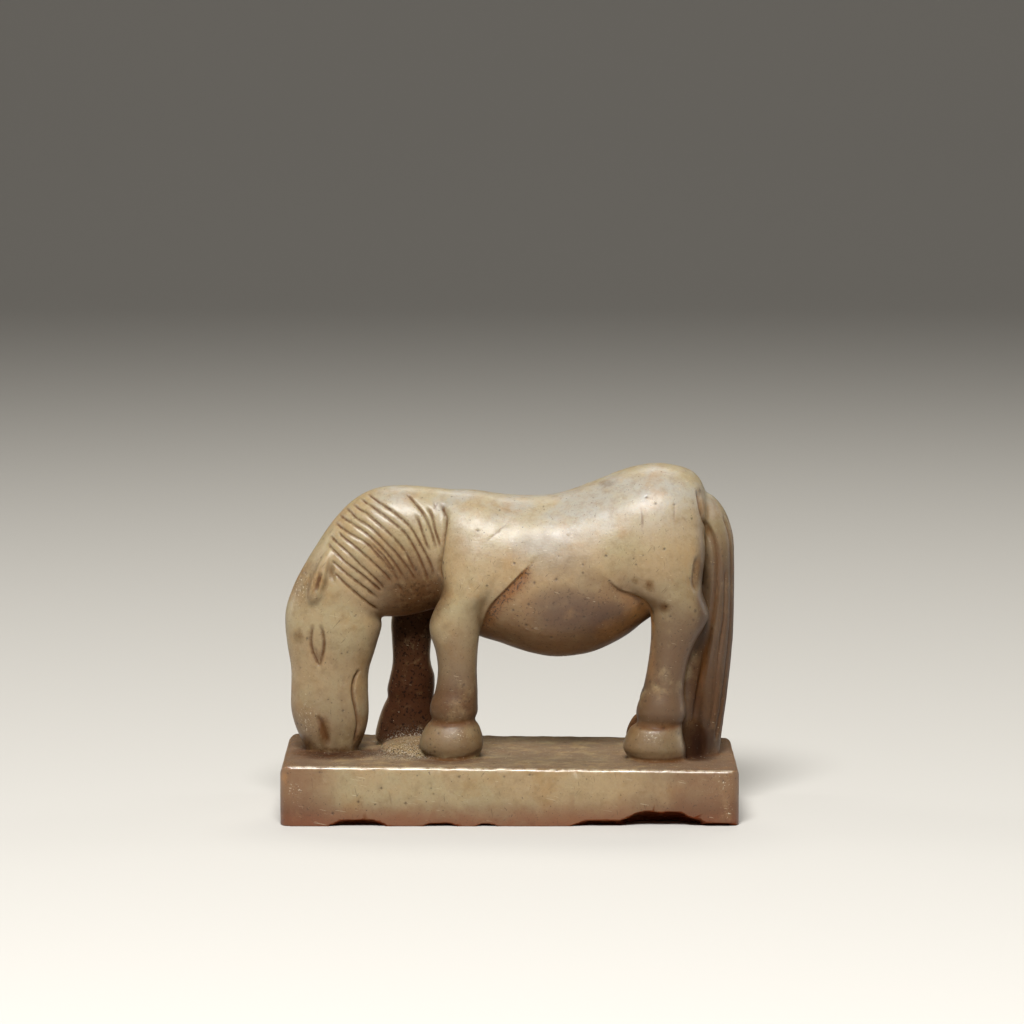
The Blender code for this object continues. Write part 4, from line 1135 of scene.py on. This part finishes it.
# %% Skin
dull = node(jade, "Attribute", {}, attribute_name="hollow").outputs["Fac"]
for mask in ("stain_and_shade", "broken", "unpolished", "inside", "top"):
    more = node(jade, "Attribute", {}, attribute_name=mask).outputs["Fac"]
    dull = node(jade, "Math", {0: dull, 1: more}, operation="MAXIMUM")
smears = node(jade, "Mapping", {"Vector": space, "Scale": (1 / (1.8 * MM),) * 3})
smears = node(jade, "TexNoise", {"Vector": smears, "Scale": 1.0, "Detail": 5.0})
limits = {"From Min": 0.3, "From Max": 0.7, "To Min": 0.42, "To Max": 0.56}
rough = node(jade, "MapRange", {"Value": smears, **limits})
rough = node(jade, "Math", {0: dull, 1: 0.22, 2: rough}, operation="MULTIPLY_ADD")
limits = {"From Min": 0.05, "From Max": 0.6, "To Min": 0.36, "To Max": 0.03}
mirror = node(jade, "MapRange", {"Value": dull, **limits})
limits = {"From Min": 0.1, "From Max": 0.7, "To Min": 0.09, "To Max": 0.0}
shine = node(jade, "MapRange", {"Value": dull, **limits})
edge = node(jade, "Attribute", {}, attribute_name="edge").outputs["Fac"]
shine = node(jade, "Math", {0: edge, 1: 0.6, 2: shine}, operation="MULTIPLY_ADD", use_clamp=True)
FIBRE, WIPE_WIDTH, WIPE_STRETCH = 0.30 * MM, 0.12 * MM, 0.08
grain = node(jade, "Mapping", {"Vector": space, "Scale": (1 / FIBRE,) * 3})
grain = node(jade, "TexNoise", {"Vector": grain, "Scale": 1.0, "Detail": 5.0})
scale = (WIPE_STRETCH / WIPE_WIDTH, 1 / WIPE_WIDTH, 1 / WIPE_WIDTH)
wipes = node(jade, "Mapping", {"Vector": space, "Scale": scale})
wipes = node(jade, "TexNoise", {"Vector": wipes, "Scale": 1.0, "Detail": 2.0})
relief = node(jade, "Math", {0: wipes, 1: 0.35, 2: grain}, operation="MULTIPLY_ADD")
bump = node(jade, "Bump", {"Height": relief, "Strength": 0.55, "Distance": 0.04 * MM})

surface = node(jade, "BsdfPrincipled", {
    "Base Color": tone,
    "Roughness": rough,
    "IOR": 1.61,
    "Specular IOR Level": mirror,
    "Normal": bump,
    "Subsurface Weight": 0.35,
    "Subsurface Radius": (1.8, 1.0, 0.5),
    "Subsurface Scale": 1.0 * MM,
    "Coat Weight": shine,
    "Coat Roughness": 0.26,
    "Coat IOR": 1.61,
})
node(jade, "OutputMaterial", {"Surface": surface})
stone.data.materials.clear()
stone.data.materials.append(jade)
print("jade:", len(jade.node_tree.nodes), "nodes")

# %% [markdown]
# A pale sweep: a floor that curves up behind the seal, so no horizon shows. The curve is a
# bevel on the fold between floor and wall.

# %% Floor
deselect()
bpy.ops.mesh.primitive_plane_add(size=2.4, location=(0, 0.3, 0))
floor = bpy.context.object
floor.name = "floor"
select_edges(floor, lambda a, b: min(a.y, b.y) > 1)
bpy.ops.mesh.extrude_region_move(TRANSFORM_OT_translate={"value": (0, 0, 1.2)})
select_edges(floor, lambda a, b: min(a.y, b.y) > 1 and max(a.z, b.z) < 0.1)
bpy.ops.mesh.bevel(offset=0.7, segments=24)
bpy.ops.object.mode_set(mode="OBJECT")
bpy.ops.object.shade_smooth()

paper = new_material("matt_paper")
pale = colour("#b4b1ab")
matt = node(paper, "BsdfPrincipled", {"Base Color": pale, "Roughness": 0.85, "IOR": 1.45})
node(paper, "OutputMaterial", {"Surface": matt})
floor.data.materials.append(paper)

# %% [markdown]
# The highlights on the haunch, the barrel and the long edge of the block all point to one
# large soft light, high and almost behind the camera. A weaker one opposite lights the back
# from above, and two long ones at the sides draw the thin bright rims.

# %% Light
def softbox(name, azimuth, elevation, distance, size, power, tint="#ffffff"):
    """A soft oval light that faces the seal; azimuth 0 is at the camera."""
    turn, rise = math.radians(azimuth), math.radians(elevation)
    level = math.cos(rise)
    spot = Vector((math.sin(turn) * level, -math.cos(turn) * level, math.sin(rise))) * distance
    turned = (aim - (spot + aim)).to_track_quat("-Z", "Y").to_euler()
    bpy.ops.object.light_add(type="AREA", location=spot + aim, rotation=turned)
    light = bpy.context.object
    light.name = name
    light.data.shape = "ELLIPSE"
    light.data.size, light.data.size_y = size
    light.data.energy = power
    light.data.color = colour(tint)[:3]


softbox("key", -6, 48, 0.60, (0.30, 0.20), 7.4)
softbox("top", 175, 58, 0.55, (0.30, 0.16), 1.1, "#f4f1e8")
softbox("left_rim", -105, 12, 0.45, (0.10, 0.30), 0.5)
softbox("right_rim", 105, 12, 0.45, (0.10, 0.30), 0.35)
world = bpy.data.worlds.new("room")
bpy.context.scene.world = world
world.use_nodes = True
background = world.node_tree.nodes["Background"]
background.inputs["Color"].default_value = colour("#e6dccd")
background.inputs["Strength"].default_value = 0.12
bpy.context.scene.view_settings.view_transform = "Standard"
bpy.context.scene.view_settings.look = "None"

# %% [markdown]
# The seal rides the one body of the fixed frame and takes the place of its one node.

# %% Hand over
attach(stone, "root")
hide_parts("horse_seal")
bpy.context.view_layer.update()
